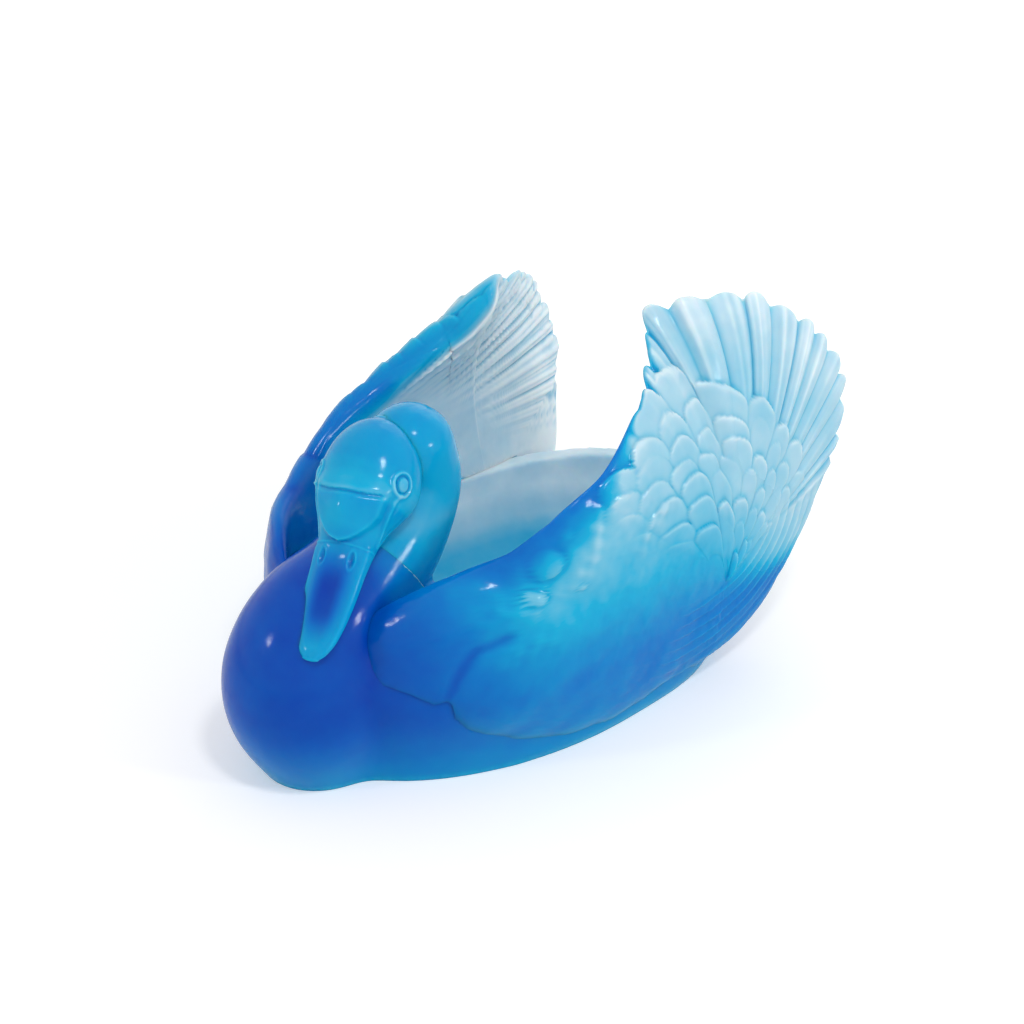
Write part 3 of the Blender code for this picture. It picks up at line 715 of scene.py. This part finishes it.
def feather_tree():
    """Geometry nodes that raise the feathers of a wing out of its plain form."""
    tree = bpy.data.node_groups.new("Feather relief", 'GeometryNodeTree')
    add_socket = tree.interface.new_socket
    add_socket("Geometry", in_out='INPUT', socket_type='NodeSocketGeometry')
    add_socket("Geometry", in_out='OUTPUT', socket_type='NodeSocketGeometry')
    for name in ("Crown", "Covert Step", "Covert Softness", "Inner Flutes", "Blade Step", "Lumps"):
        add_socket(name, in_out='INPUT', socket_type='NodeSocketFloat')
    add_socket("Seed", in_out='INPUT', socket_type='NodeSocketInt')
    add_socket("Glass", in_out='INPUT', socket_type='NodeSocketMaterial')
    nodes, links = tree.nodes, tree.links
    entry = nodes.new('NodeGroupInput')

    def given(name):
        return Field(tree, entry.outputs[name])

    def layer(name):
        node = nodes.new('GeometryNodeInputNamedAttribute')
        node.data_type = 'FLOAT'
        node.inputs["Name"].default_value = name
        return Field(tree, node.outputs["Attribute"])

    def lumps(scale, offset):
        node = nodes.new('ShaderNodeTexNoise')
        node.inputs["Scale"].default_value = scale
        node.inputs["Detail"].default_value = 2.0
        move = nodes.new('ShaderNodeVectorMath')
        move.operation = 'ADD'
        move.inputs[1].default_value = offset
        links.new(nodes.new('GeometryNodeInputPosition').outputs[0], move.inputs[0])
        links.new(move.outputs[0], node.inputs["Vector"])
        return Field(tree, node.outputs[0]) - 0.5

    angle, distance = layer("fan_angle"), layer("fan_distance")
    hub_angle, share, face = layer("hub_angle"), layer("reach_share"), layer("face")
    crown, step, seed = given("Crown"), given("Covert Step"), given("Seed")
    outer = (face * 2.2 + 0.1).ease()
    inner = (face * -2.2 + 0.1).ease()
    in_fan = ((angle - (FAN_START - 12)) / 14.0).ease()
    in_fan = in_fan * ((angle * -1.0 + FAN_END + 26) / 16.0).ease()

    # long flight feathers of the fan, domed, with a shaft and fine ribs
    number, place = feather_count(angle, FAN_START, FAN_END, FAN_FEATHERS)
    own = number.chance(-1.0, 1.0, seed + 3.0)
    dome = 1.0 - abs(place).power(2.2)
    ribs = (place * 7.0 + own * 3.0).math('SINE')
    flight = crown * (dome * 1.7 + place.bell(0.25, 0.16) * 0.45 + ribs * 0.14 + own * 0.4 - 0.9)
    relief = flight * ((share - 0.38) / 0.3).ease() * in_fan

    # the lowest feathers, long and narrow, one under the other along the flank's lower edge
    low_angle = layer("low_angle")
    along = (layer("low_radius") - 48.0) / 7.0 + (low_angle * 0.06).math('SINE') * 0.5
    number, low_place = along.math('FLOOR'), along.math('FRACT')
    low = crown * (low_place.power(1.6) * 1.5 - 0.5) * ((1.0 - low_place) / 0.10).ease()
    low = low * number.chance(0.6, 1.2, seed + 5.0)
    in_low = ((low_angle + 118.0) / 40.0).ease() * ((low_angle * -1.0 + 4.0) / 26.0).ease() * (
        (layer("low_radius") - 46.0) / 8.0).ease()
    relief = relief.mix(low, in_low)

    # rows of rounded scales, each row lying over the next one out
    level = distance - (angle - 88.0) * COVERT_SLANT
    for row, (reach, count) in enumerate(COVERT_ROWS):
        number, place = feather_count(
            angle, COVERT_FROM, COVERT_TO, count, 0.5 * (row % 2) + 0.13 * row)
        number = number + 40.0 * row
        round_off = (1.0 - abs(place).power(2.2)).math('MAXIMUM', 0.0).power(0.6)
        tip = round_off * 10.0 + number.chance(-4.5, 3.5, seed + 7.0) + (reach - 5.5)
        rise = ((level - tip) / 24.0 + 1.0).math('MAXIMUM', 0.0).math('MINIMUM', 1.0)
        scale = step * rise.power(0.8) * (round_off * 0.8 + 0.2)
        scale = scale * number.chance(0.7, 1.25, seed + 9.0)
        covered = ((tip - level) / given("Covert Softness") + 0.5).ease()
        fade = ((angle - COVERT_FROM) / 16.0).ease() * ((angle * -1.0 + COVERT_TO) / 26.0).ease()
        relief = relief.mix(scale, covered * fade)

    # casting lumps on the shoulder
    shoulder = ((hub_angle - 112.0) / 30.0).ease()
    relief = relief + given("Lumps") * (
        lumps(46.0, (0.3, 0.1, 0.2)) * 2.4 + lumps(110.0, (0.1, 0.4, 0.0)) * 0.8) * shoulder

    # inside of the fan: flutes that run out to the tips
    number, place = feather_count(angle, FAN_START, FAN_END, FAN_FEATHERS)
    own = number.chance(-1.0, 1.0, seed + 13.0)
    flute = (1.0 - abs(place).power(1.5)) * 1.6 - 0.8
    flute = flute + (place * 8.0 + own * 4.0).math('SINE') * 0.35
    wide_fan = ((angle - 2.0) / 30.0).ease() * ((angle * -1.0 + FAN_END + 12) / 10.0).ease()
    depth = distance.math('MULTIPLY_ADD', 0.016, -0.75).ease()
    within = given("Inner Flutes") * flute * wide_fan * depth * ((1.0 - share) * 20.0).ease()

    # long leaves that lie along the thick leading edge
    band = (1.0 - face * face).math('MAXIMUM', 0.0).power(0.7)
    band = band * ((hub_angle - (FAN_END + 2)) / 8.0).ease()
    band = band * ((hub_angle * -1.0 + ARM_END) / 20.0).ease()
    leaves = face * 0.0
    for row, tip_angle in enumerate(ARM_BLADES):
        across = face * 1.25 + (0.42 if row % 2 else -0.35)
        tip = tip_angle - (1.0 - abs(across)).math('MAXIMUM', 0.0) * 26.0
        rise = ((tip - hub_angle) / 34.0 + 1.0).math('MAXIMUM', 0.0).math('MINIMUM', 1.0)
        leaf = rise.power(1.3) * (1.0 - abs(across) * 0.7)
        leaves = leaves.mix(leaf, ((hub_angle - tip) / 1.4 + 0.5).ease())
    streaks = (face * 11.0 + hub_angle * 0.09).math('SINE') * 0.14
    edge = given("Blade Step") * (leaves + streaks - 0.3)

    height = (relief * outer + within * inner) + edge * band
    keep = nodes.new('GeometryNodeStoreNamedAttribute')
    keep.data_type = 'FLOAT'
    keep.domain = 'POINT'
    keep.inputs["Name"].default_value = "rise"
    links.new(entry.outputs["Geometry"], keep.inputs["Geometry"])
    links.new(height.socket, keep.inputs["Value"])
    scale_up = nodes.new('ShaderNodeVectorMath')
    scale_up.operation = 'SCALE'
    links.new(nodes.new('GeometryNodeInputNormal').outputs[0], scale_up.inputs[0])
    links.new((layer("rise") * MM).socket, scale_up.inputs["Scale"])
    shift = nodes.new('GeometryNodeSetPosition')
    links.new(keep.outputs["Geometry"], shift.inputs["Geometry"])
    links.new(scale_up.outputs[0], shift.inputs["Offset"])
    realize = nodes.new('GeometryNodeRealizeInstances')
    dress = nodes.new('GeometryNodeSetMaterial')
    leave = nodes.new('NodeGroupOutput')
    links.new(shift.outputs[0], realize.inputs[0])
    links.new(realize.outputs[0], dress.inputs["Geometry"])
    links.new(entry.outputs["Glass"], dress.inputs["Material"])
    links.new(dress.outputs[0], leave.inputs[0])
    return tree


# Glass

def colour(red, green, blue):
    """A screen colour, 0 to 255, as the scene's linear one."""
    parts = []
    for value in (red, green, blue):
        value /= 255
        parts.append(value / 12.92 if value <= 0.04045 else ((value + 0.055) / 1.055) ** 2.4)
    return tuple(parts)


def swan_glass(name, stops, glow, bump=1.0):
    """Cast glass: the depth of its colour, with the shade and light painted into it, and its satin
    come from what is painted on the piece.
    """
    setting = bpy.context.scene.swan_glass
    glass = bpy.data.materials.new(name)
    glass.use_nodes = True
    nodes, links = glass.node_tree.nodes, glass.node_tree.links
    shader = nodes["Principled BSDF"]
    place = nodes.new('ShaderNodeTexCoord').outputs["Object"]

    def painted(layer):
        node = nodes.new('ShaderNodeAttribute')
        node.attribute_name = layer
        return node.outputs["Fac"]

    def noise(scale, detail, rough=0.5):
        node = nodes.new('ShaderNodeTexNoise')
        node.inputs["Scale"].default_value = scale
        node.inputs["Detail"].default_value = detail
        node.inputs["Roughness"].default_value = rough
        links.new(place, node.inputs["Vector"])
        return node.outputs[0]

    def math_node(operation, *values):
        node = nodes.new('ShaderNodeMath')
        node.operation = operation
        for slot, value in zip(node.inputs, values):
            if isinstance(value, bpy.types.NodeSocket):
                links.new(value, slot)
            else:
                slot.default_value = value
        return node.outputs[0]

    tint, frost = painted("tint"), painted("frost")
    clouds = math_node('MULTIPLY_ADD', noise(24, 3, 0.55), setting.clouds, -0.5 * setting.clouds)
    veils = math_node('MULTIPLY_ADD', noise(85, 2), 0.4 * setting.clouds, -0.2 * setting.clouds)
    depth = math_node('ADD', math_node('ADD', tint, clouds), veils)
    ramp = nodes.new('ShaderNodeValToRGB')
    elements = ramp.color_ramp.elements
    while len(elements) < len(stops):
        elements.new(0.5)
    for element, (at, shade) in zip(elements, stops):
        element.position = at
        element.color = (*shade, 1.0)
    links.new(depth, ramp.inputs["Fac"])
    links.new(ramp.outputs["Color"], shader.inputs["Base Color"])
    uneven = math_node('MULTIPLY_ADD', noise(140, 3), 0.10, setting.gloss_roughness - 0.05)
    rough = math_node(
        'MULTIPLY_ADD', frost, setting.satin_roughness - setting.gloss_roughness, uneven)
    links.new(rough, shader.inputs["Roughness"])
    waves = nodes.new('ShaderNodeBump')
    waves.inputs["Strength"].default_value = 0.25 * bump
    waves.inputs["Distance"].default_value = 0.0012
    links.new(noise(75, 2), waves.inputs["Height"])
    grain = nodes.new('ShaderNodeBump')
    grain.inputs["Distance"].default_value = 0.0002
    links.new(math_node('MULTIPLY', frost, 0.35), grain.inputs["Strength"])
    links.new(noise(1300, 2), grain.inputs["Height"])
    links.new(waves.outputs[0], grain.inputs["Normal"])
    links.new(grain.outputs[0], shader.inputs["Normal"])
    shader.inputs["IOR"].default_value = 1.5
    shader.inputs["Specular IOR Level"].default_value = 0.15
    shader.inputs["Subsurface Weight"].default_value = glow
    shader.inputs["Subsurface Radius"].default_value = (0.35, 0.8, 1.0)
    shader.inputs["Subsurface Scale"].default_value = setting.glow_depth
    return glass


def body_stops():
    g = bpy.context.scene.swan_glass
    return ((0.0, g.tip), (0.12, g.pale), (0.26, g.light), (0.40, g.cyan), (0.54, g.sky),
            (0.70, g.blue), (0.85, g.royal), (1.0, g.deep))


def finish_piece(piece, slot, glass, *nodes):
    """Dress a piece, hang it on the body it rides on, and hide the imported parts that it stands
    for.
    """
    piece.data.materials.clear()
    piece.data.materials.append(glass)
    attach(piece, BODY)
    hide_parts(*nodes)


def slope_tint_with_painted_light(points):
    """Depth of colour over the outside: deep at the breast, paler up to the tips, and paler again
    towards the floor at the foot, where painted light stands for the light that comes through the
    foot.
    """
    y, z = points[:, 1], points[:, 2]
    level = z + 0.75 * np.maximum(y - 60, 0) * ease((z - 45) / 30)
    # painted light: the lowest 20 mm are paler than the flank above them, lifting the shade at the
    # foot; around 205 mm the tint is a little deeper, painted shade against the light from above
    height = np.interp(level, (0, 20, 50, 65, 75, 95, 120, 140, 170, 205, 240),
                       (0.56, 0.66, 0.70, 0.60, 0.52, 0.38, 0.25, 0.19, 0.16, 0.18, 0.10))
    # the breast's deep colour gives way near the floor: painted light at the foot of the breast
    return height + (0.97 - height) * ease((-55 - y) / 70) * ease((z - 6) / 50)


def paint_body(mesh):
    p, n = points_of(mesh) / MM, normals_of(mesh)
    tint = slope_tint_with_painted_light(p)
    within = ((p[:, 0] / 97) ** 2 + ((p[:, 1] - 32) / 128) ** 2 < 1) & (p[:, 2] > FLOOR_HEIGHT - 3)
    inward = -(n[:, 0] * p[:, 0] / 93 + n[:, 1] * (p[:, 1] - 32) / 120)
    inside = np.where(within, np.maximum(ease(inward * 3 + 0.2), ease((n[:, 2] - 0.4) / 0.4)
                                         * ease((70 - p[:, 2]) / 8)), 0)
    rim = ease((n[:, 2] - 0.3) / 0.3) * ease((p[:, 2] - 58) / 8) * ease((p[:, 1] + 10) / 30)
    inside = np.maximum(inside, rim)
    hollow = np.interp(p[:, 2], (24, 34, 44, 60, 85), (0.38, 0.36, 0.16, 0.04, 0.06))
    # painted shade: deeper blue in the hollows of the relief, and painted light: paler on its
    # ridges
    tint = tint + 0.25 * np.clip(sunk(mesh, 12), -0.4, 0.6)
    root = ease((p[:, 2] - 86) / 14) * ease((40 - np.abs(p[:, 0])) / 10)
    root = root * ease((p[:, 1] + 112) / 18)
    tint = tint + (0.66 - tint) * root * (p[:, 1] < -50)
    paint(mesh, "tint", tint + (hollow - tint) * inside)
    paint(mesh, "frost", 0.06 + 0.6 * inside)


def paint_wing(mesh, side):
    p = points_of(mesh) / MM
    x, y, z = p[:, 0] * side, p[:, 1], p[:, 2]
    angle = np.degrees(np.arctan2(z - HUB_Z, y - HUB_Y))
    angle = np.mod(angle + 90, 360) - 90
    reach = wing_station(angle, side)[0]
    share = np.hypot(y - HUB_Y, z - HUB_Z) / reach
    middle, thickness = wing_middle(y, z, side)
    face = np.clip((x - middle) / (thickness / 2), -1, 1)
    outer = slope_tint_with_painted_light(p)
    # painted light: the insides of the wings are painted near white, for the light that comes
    # through the thin glass
    inner = np.interp(share, (0.2, 0.6, 0.9, 1.0), (0.05, 0.02, 0.02, 0.06))
    inside = ease(-face * 1.4 + 0.3) * ease((angle + 20) / 20)
    if side < 0:
        inside = inside * ease((160 - angle) / 10)
        outer = np.maximum(outer, 0.72 * ease((angle - 120) / 15) * ease((0.2 - face) / 0.4))
    tint = outer + (inner - outer) * inside
    band = (ease((angle - FAN_END + 3) / 6) * ease((share - 0.80) / 0.12) * (1 - np.abs(face) ** 3))
    shades = (0.36, 0.42, 0.74, 0.76, 0.80) if side > 0 else (0.40, 0.52, 0.60, 0.76, 0.80)
    arm = np.interp(angle, (98, 112, 130, 150, 170), shades)
    tint = tint + (np.maximum(arm, outer) - tint) * band
    # painted shade: deeper blue in the grooves between feathers and scales, and painted light:
    # paler on their ridges
    paint(mesh, "tint", tint + 0.17 * np.clip(sunk(mesh, 12), -0.5, 0.8))
    satin = ease((100 - angle) / 22) * ease((angle + 25) / 30) * ease((share - 0.25) / 0.3)
    paint(mesh, "frost", np.maximum(satin, 0.8 * inside) * (1 - band) * 0.9 + 0.06)


def paint_neck(mesh):
    p = points_of(mesh) / MM
    # painted light: the neck is painted palest at mid height, lifting the shade it stands in; deep
    # at its base to meet the breast
    tint = np.interp(p[:, 2], (90, 105, 125, 150, 175), (0.68, 0.52, 0.36, 0.42, 0.50))
    paint(mesh, "tint", tint)
    paint(mesh, "frost", np.full(len(p), 0.06))


def paint_head(mesh):
    ahead, across, _, _ = head_axes()
    p = points_of(mesh) / MM - SKULL_CENTRE
    s, u = p @ ahead, p @ across
    half_width = np.interp(s, HEAD_SECTIONS[:, 0], HEAD_SECTIONS[:, 1])
    tint = np.interp(s, (-20, 5, 18, 24, 26, 40, 46), (0.54, 0.50, 0.40, 0.42, 0.52, 0.44, 0.50))
    # painted see-through: down the middle of the clear beak, the deep blue of the breast behind it
    # is painted in
    middle = ease((s - 47) / 22) * ease((101 - s) / 20) * ease((1.0 - np.abs(u) / half_width) / 0.8)
    # painted shade: deeper blue in the grooves of the carving, such as the brow, and painted light:
    # paler on its ridges
    tint = tint + 0.46 * middle + 0.3 * np.clip(sunk(mesh, 10), -0.5, 0.7)
    paint(mesh, "tint", tint)
    paint(mesh, "frost", np.full(len(p), 0.05))


# Settings

class SwanShape(bpy.types.PropertyGroup):
    """Relief of the casting."""

    crown: bpy.props.FloatProperty(
        name="Feather Crown", description="Doming of the flight feathers, in millimetres",
        default=1.3)
    covert_step: bpy.props.FloatProperty(
        name="Covert Step", description="Height of the scales' tips, in millimetres", default=2.6)
    covert_softness: bpy.props.FloatProperty(
        name="Covert Softness", description="Width of the step at a scale's tip, in millimetres",
        default=1.3)
    inner_flutes: bpy.props.FloatProperty(
        name="Inner Flutes", description="Depth of the flutes inside the fans, in millimetres",
        default=2.0)
    blade_step: bpy.props.FloatProperty(
        name="Blade Step", description="Height of the blades on the leading edge, in millimetres",
        default=0.5)
    lumps: bpy.props.FloatProperty(
        name="Lumps", description="Height of the lumps on the shoulders, in millimetres",
        default=0.9)
    melt: bpy.props.FloatProperty(
        name="Melt", description="Grain at which body and neck run into each other",
        default=0.0016, unit='LENGTH')
    seam: bpy.props.FloatProperty(
        name="Seam", description="Gap between touching pieces", default=0.00004, unit='LENGTH',
        precision=5)


class SwanGlass(bpy.types.PropertyGroup):
    """Colours and finish of the glass, from the palest to the deepest."""

    def shade(label, *value):
        return bpy.props.FloatVectorProperty(
            name=label, description=f"{label} shade of the glass", subtype='COLOR', size=3,
            min=0.0, max=1.0, default=colour(*value))

    # the palest shade is partly the glass's own and partly painted light, set pale for the light
    # through the thin insides of the wings
    tip: shade("Tip", 234, 244, 248)
    pale: shade("Pale", 176, 214, 230)
    light: shade("Light", 112, 194, 222)
    cyan: shade("Cyan", 16, 176, 218)
    sky: shade("Sky", 0, 152, 210)
    blue: shade("Blue", 0, 124, 203)
    royal: shade("Royal", 0, 97, 193)
    deep: shade("Deep", 0, 66, 176)
    gloss_roughness: bpy.props.FloatProperty(
        name="Gloss Roughness", description="Roughness of the polished glass", default=0.12,
        min=0.0, max=1.0, subtype='FACTOR')
    satin_roughness: bpy.props.FloatProperty(
        name="Satin Roughness", description="Roughness of the satin feathers", default=0.45,
        min=0.0, max=1.0, subtype='FACTOR')
    clouds: bpy.props.FloatProperty(
        name="Clouds", description="Cloudiness of the colour in the melt", default=0.16)
    glow_depth: bpy.props.FloatProperty(
        name="Glow Depth", description="How far light spreads inside the glass", default=0.004,
        unit='LENGTH')


class SwanStage(bpy.types.PropertyGroup):
    """Camera and lamps."""

    azimuth: bpy.props.FloatProperty(
        name="Azimuth", description="Way round to the camera from the swan's front, in degrees",
        default=45.0)
    elevation: bpy.props.FloatProperty(
        name="Elevation", description="Height of the camera's line, in degrees", default=25.0)
    distance: bpy.props.FloatProperty(
        name="Distance", description="From the camera to its target", default=0.84, unit='LENGTH')
    lens: bpy.props.FloatProperty(
        name="Lens", description="Focal length on a 36 mm sensor, in millimetres", default=52.734)
    sky_light: bpy.props.FloatProperty(
        name="Sky Light", description="Even light from all round", default=0.62)


# Operators

class SWAN_OT_head(bpy.types.Operator):
    """Make the head with its knob, eyes and beak"""

    bl_idname = "swan.make_head"
    bl_label = "Make Head"

    def execute(self, context):
        mesh = head_mesh("glass_head")
        smooth_faces(mesh, 65)
        paint_head(mesh)
        head = add_object("glass_head", mesh)
        finish_piece(head, "head_glass", swan_glass("head_glass_look", body_stops(), 0.7), "head")
        return {'FINISHED'}


class SWAN_OT_body(bpy.types.Operator):
    """Melt the bowl and the neck into each other, part them at the seat and seat the head"""

    bl_idname = "swan.make_body"
    bl_label = "Make Body and Neck"

    def execute(self, context):
        shape = context.scene.swan_shape
        outer, inner = hull_rings(), hollow_rings()
        floor = inner[-1].mean(0)
        floor[2] = FLOOR_HEIGHT
        body = add_object("glass_body", skin("glass_body", outer + inner, outer[0].mean(0), floor))
        tube = add_object("breast", neck_mesh("breast"))
        cut(body, tube, 'UNION')
        melt = body.modifiers.new("Melt", 'REMESH')
        melt.mode = 'VOXEL'
        melt.voxel_size = shape.melt
        relax = body.modifiers.new("Relax", 'SMOOTH')
        relax.factor = 0.5
        relax.iterations = 6
        bake_modifiers(body)
        p = points_of(body.data) / MM
        weight = ease((92 - p[:, 2]) / 20) * ease((-50 - p[:, 1]) / 25)
        move_points(body.data, smoothed(body.data, 90, weight))
        under = add_object("under_foot", skin("under_foot", [
            egg(140, 190, 190, 2.0, -40), egg(140, 190, 190, 2.0, 0)], (0, 14, -40), (0, 14, 0)))
        cut(body, under)
        neck = add_object("glass_neck", body.data.copy())
        box = add_object("seat_box", seat_box("seat_box", 0.0))
        cut(neck, box, 'INTERSECT')
        low_box = add_object("low_seat_box", seat_box("low_seat_box", shape.seam / MM))
        cut(body, low_box)
        head = bpy.data.objects["glass_head"]
        seat_mesh = head.data.copy()
        move_points(seat_mesh, points_of(seat_mesh) + normals_of(seat_mesh) * shape.seam)
        head_seat = add_object("head_seat", seat_mesh)
        cut(neck, head_seat)
        cut(body, head_seat)
        drop(tube, under, box, low_box, head_seat)
        for piece, paint_piece in ((body, paint_body), (neck, paint_neck)):
            turn_outwards(piece.data, 1e-6)
            smooth_faces(piece.data, 50)
            paint_piece(piece.data)
        finish_piece(
            body, "body_glass", swan_glass("body_glass_look", body_stops(), 0.7), "bowl_body")
        finish_piece(neck, "neck_glass", swan_glass("neck_glass_look", body_stops(), 0.7), "neck")
        return {'FINISHED'}


class SWAN_OT_wings(bpy.types.Operator):
    """Make both wings, raise their feathers and seat them on the hull"""

    bl_idname = "swan.make_wings"
    bl_label = "Make Wings"

    def execute(self, context):
        shape = context.scene.swan_shape
        gap = shape.seam / MM
        filled = hull_rings(gap)
        filled.append(hollow_rings()[0] + np.array((0, 0, gap)))
        hull = add_object("wing_seat", skin(
            "wing_seat", filled, filled[0].mean(0), filled[-1].mean(0)))
        breast = add_object("breast_clearance", neck_mesh("breast_clearance", gap))
        tree = feather_tree()
        sockets = {item.name: item.identifier for item in tree.interface.items_tree
                   if item.in_out == 'INPUT'}
        glass = swan_glass("wing_glass_look", body_stops(), 0.6, bump=1.8)
        for name, side in (("left_wing", 1), ("right_wing", -1)):
            wing = add_object("glass_" + name, wing_mesh("glass_" + name, side))
            relief = wing.modifiers.new("Feathers", 'NODES')
            relief.node_group = tree
            for label, value in (
                    ("Crown", shape.crown), ("Covert Step", shape.covert_step),
                    ("Covert Softness", shape.covert_softness),
                    ("Inner Flutes", shape.inner_flutes),
                    ("Blade Step", shape.blade_step if side < 0 else 0.0),
                    ("Lumps", shape.lumps), ("Seed", 20 + side), ("Glass", glass)):
                relief[sockets[label]] = value
            bake_modifiers(wing)
            cut(wing, hull)
            cut(wing, breast)
            turn_outwards(wing.data, 1e-6)
            keep_in_box(wing.data)
            smooth_faces(wing.data, 60)
            paint_wing(wing.data, side)
            finish_piece(wing, "wing_glass", glass, name)
        drop(hull, breast)
        return {'FINISHED'}


class SWAN_OT_stage(bpy.types.Operator):
    """Set the floor, the lamps and the camera"""

    bl_idname = "swan.set_stage"
    bl_label = "Set Stage"

    def execute(self, context):
        scene = context.scene
        stage = scene.swan_stage
        scene.view_settings.view_transform = 'Standard'
        target = Vector((0, 0.014, 0.0952))
        turn, rise = math.radians(stage.azimuth), math.radians(stage.elevation)
        back = Vector((math.sin(turn) * math.cos(rise), -math.cos(turn) * math.cos(rise),
                       math.sin(rise)))
        camera = bpy.data.objects.new("camera", bpy.data.cameras.new("camera"))
        camera.location = target + stage.distance * back
        camera.rotation_euler = back.to_track_quat('Z', 'Y').to_euler()
        camera.data.sensor_width = 36
        camera.data.lens = stage.lens
        scene.collection.objects.link(camera)
        scene.camera = camera
        self.light_world(scene, stage)
        self.lay_floor()
        for name, place, size, watts in (
                ("key_lamp", (0.55, -0.25, 1.05), 0.14, 2.8),
                ("side_lamp", (1.1, 0.3, 0.48), 0.14, 2.4),
                ("front_lamp", (-0.32, -1.08, 0.60), 0.12, 1.6),
                ("rear_lamp", (-0.35, 0.85, 0.85), 0.80, 1.8)):
            data = bpy.data.lights.new(name, 'AREA')
            data.shape = 'SQUARE'
            data.size = size
            data.energy = watts
            lamp = bpy.data.objects.new(name, data)
            lamp.location = place
            lamp.rotation_euler = (Vector(place) - target).to_track_quat('Z', 'Y').to_euler()
            scene.collection.objects.link(lamp)
        return {'FINISHED'}

    def light_world(self, scene, stage):
        """White to the camera and in the glass; a plain level of light on everything."""
        world = bpy.data.worlds.new("studio")
        world.use_nodes = True
        scene.world = world
        nodes, links = world.node_tree.nodes, world.node_tree.links
        path = nodes.new('ShaderNodeLightPath')
        seen = path.outputs["Is Camera Ray"]
        for ray in ("Is Glossy Ray", "Is Transmission Ray"):
            either = nodes.new('ShaderNodeMath')
            either.operation = 'MAXIMUM'
            links.new(seen, either.inputs[0])
            links.new(path.outputs[ray], either.inputs[1])
            seen = either.outputs[0]
        strength = nodes.new('ShaderNodeMapRange')
        strength.inputs["To Min"].default_value = stage.sky_light
        strength.inputs["To Max"].default_value = 1.0
        links.new(seen, strength.inputs["Value"])
        background = nodes["Background"]
        background.inputs["Color"].default_value = (1.0, 1.0, 1.0, 1.0)
        links.new(strength.outputs["Result"], background.inputs["Strength"])

    def lay_floor(self):
        mesh = bpy.data.meshes.new("floor")
        mesh.from_pydata([(-6, -6, 0), (6, -6, 0), (6, 6, 0), (-6, 6, 0)], [], [(0, 1, 2, 3)])
        floor = add_object("floor", mesh)
        white = bpy.data.materials.new("floor_white")
        white.use_nodes = True
        shader = white.node_tree.nodes["Principled BSDF"]
        shader.inputs["Base Color"].default_value = (0.9, 0.9, 0.9, 1.0)
        shader.inputs["Roughness"].default_value = 0.9
        shader.inputs["Specular IOR Level"].default_value = 0.0
        shader.inputs["Emission Color"].default_value = (1.0, 1.0, 1.0, 1.0)
        nodes, links = white.node_tree.nodes, white.node_tree.links
        away = nodes.new('ShaderNodeVectorMath')
        away.operation = 'LENGTH'
        links.new(nodes.new('ShaderNodeTexCoord').outputs["Object"], away.inputs[0])
        rise = nodes.new('ShaderNodeMapRange')
        for name, value in (
                ("From Min", 0.3), ("From Max", 1.2), ("To Min", 0.25), ("To Max", 0.6)):
            rise.inputs[name].default_value = value
        links.new(away.outputs["Value"], rise.inputs["Value"])
        lift = nodes.new('ShaderNodeMath')
        lift.operation = 'MULTIPLY'
        links.new(nodes.new('ShaderNodeLightPath').outputs["Is Camera Ray"], lift.inputs[0])
        links.new(rise.outputs["Result"], lift.inputs[1])
        links.new(lift.outputs[0], shader.inputs["Emission Strength"])
        mesh.materials.append(white)


class SWAN_PT_panel(bpy.types.Panel):
    """Settings and steps of the swan bowl"""

    bl_idname = "SWAN_PT_panel"
    bl_label = "Swan Bowl"
    bl_space_type = 'VIEW_3D'
    bl_region_type = 'UI'
    bl_category = "Swan"

    def draw(self, context):
        for step in STEPS:
            self.layout.operator(step)
        for settings in ("swan_shape", "swan_glass", "swan_stage"):
            group = getattr(context.scene, settings)
            for name in group.__annotations__:
                self.layout.prop(group, name)


STEPS = ("swan.make_head", "swan.make_body", "swan.make_wings", "swan.set_stage")
CLASSES = (SwanShape, SwanGlass, SwanStage, SWAN_OT_head, SWAN_OT_body, SWAN_OT_wings,
           SWAN_OT_stage, SWAN_PT_panel)


def register():
    for item in CLASSES:
        bpy.utils.register_class(item)
    bpy.types.Scene.swan_shape = bpy.props.PointerProperty(type=SwanShape)
    bpy.types.Scene.swan_glass = bpy.props.PointerProperty(type=SwanGlass)
    bpy.types.Scene.swan_stage = bpy.props.PointerProperty(type=SwanStage)


def unregister():
    del bpy.types.Scene.swan_stage
    del bpy.types.Scene.swan_glass
    del bpy.types.Scene.swan_shape
    for item in reversed(CLASSES):
        bpy.utils.unregister_class(item)


def main():
    register()
    bpy.ops.swan.make_head()
    bpy.ops.swan.make_body()
    bpy.ops.swan.make_wings()
    bpy.ops.swan.set_stage()


if __name__ == "__main__":
    main()
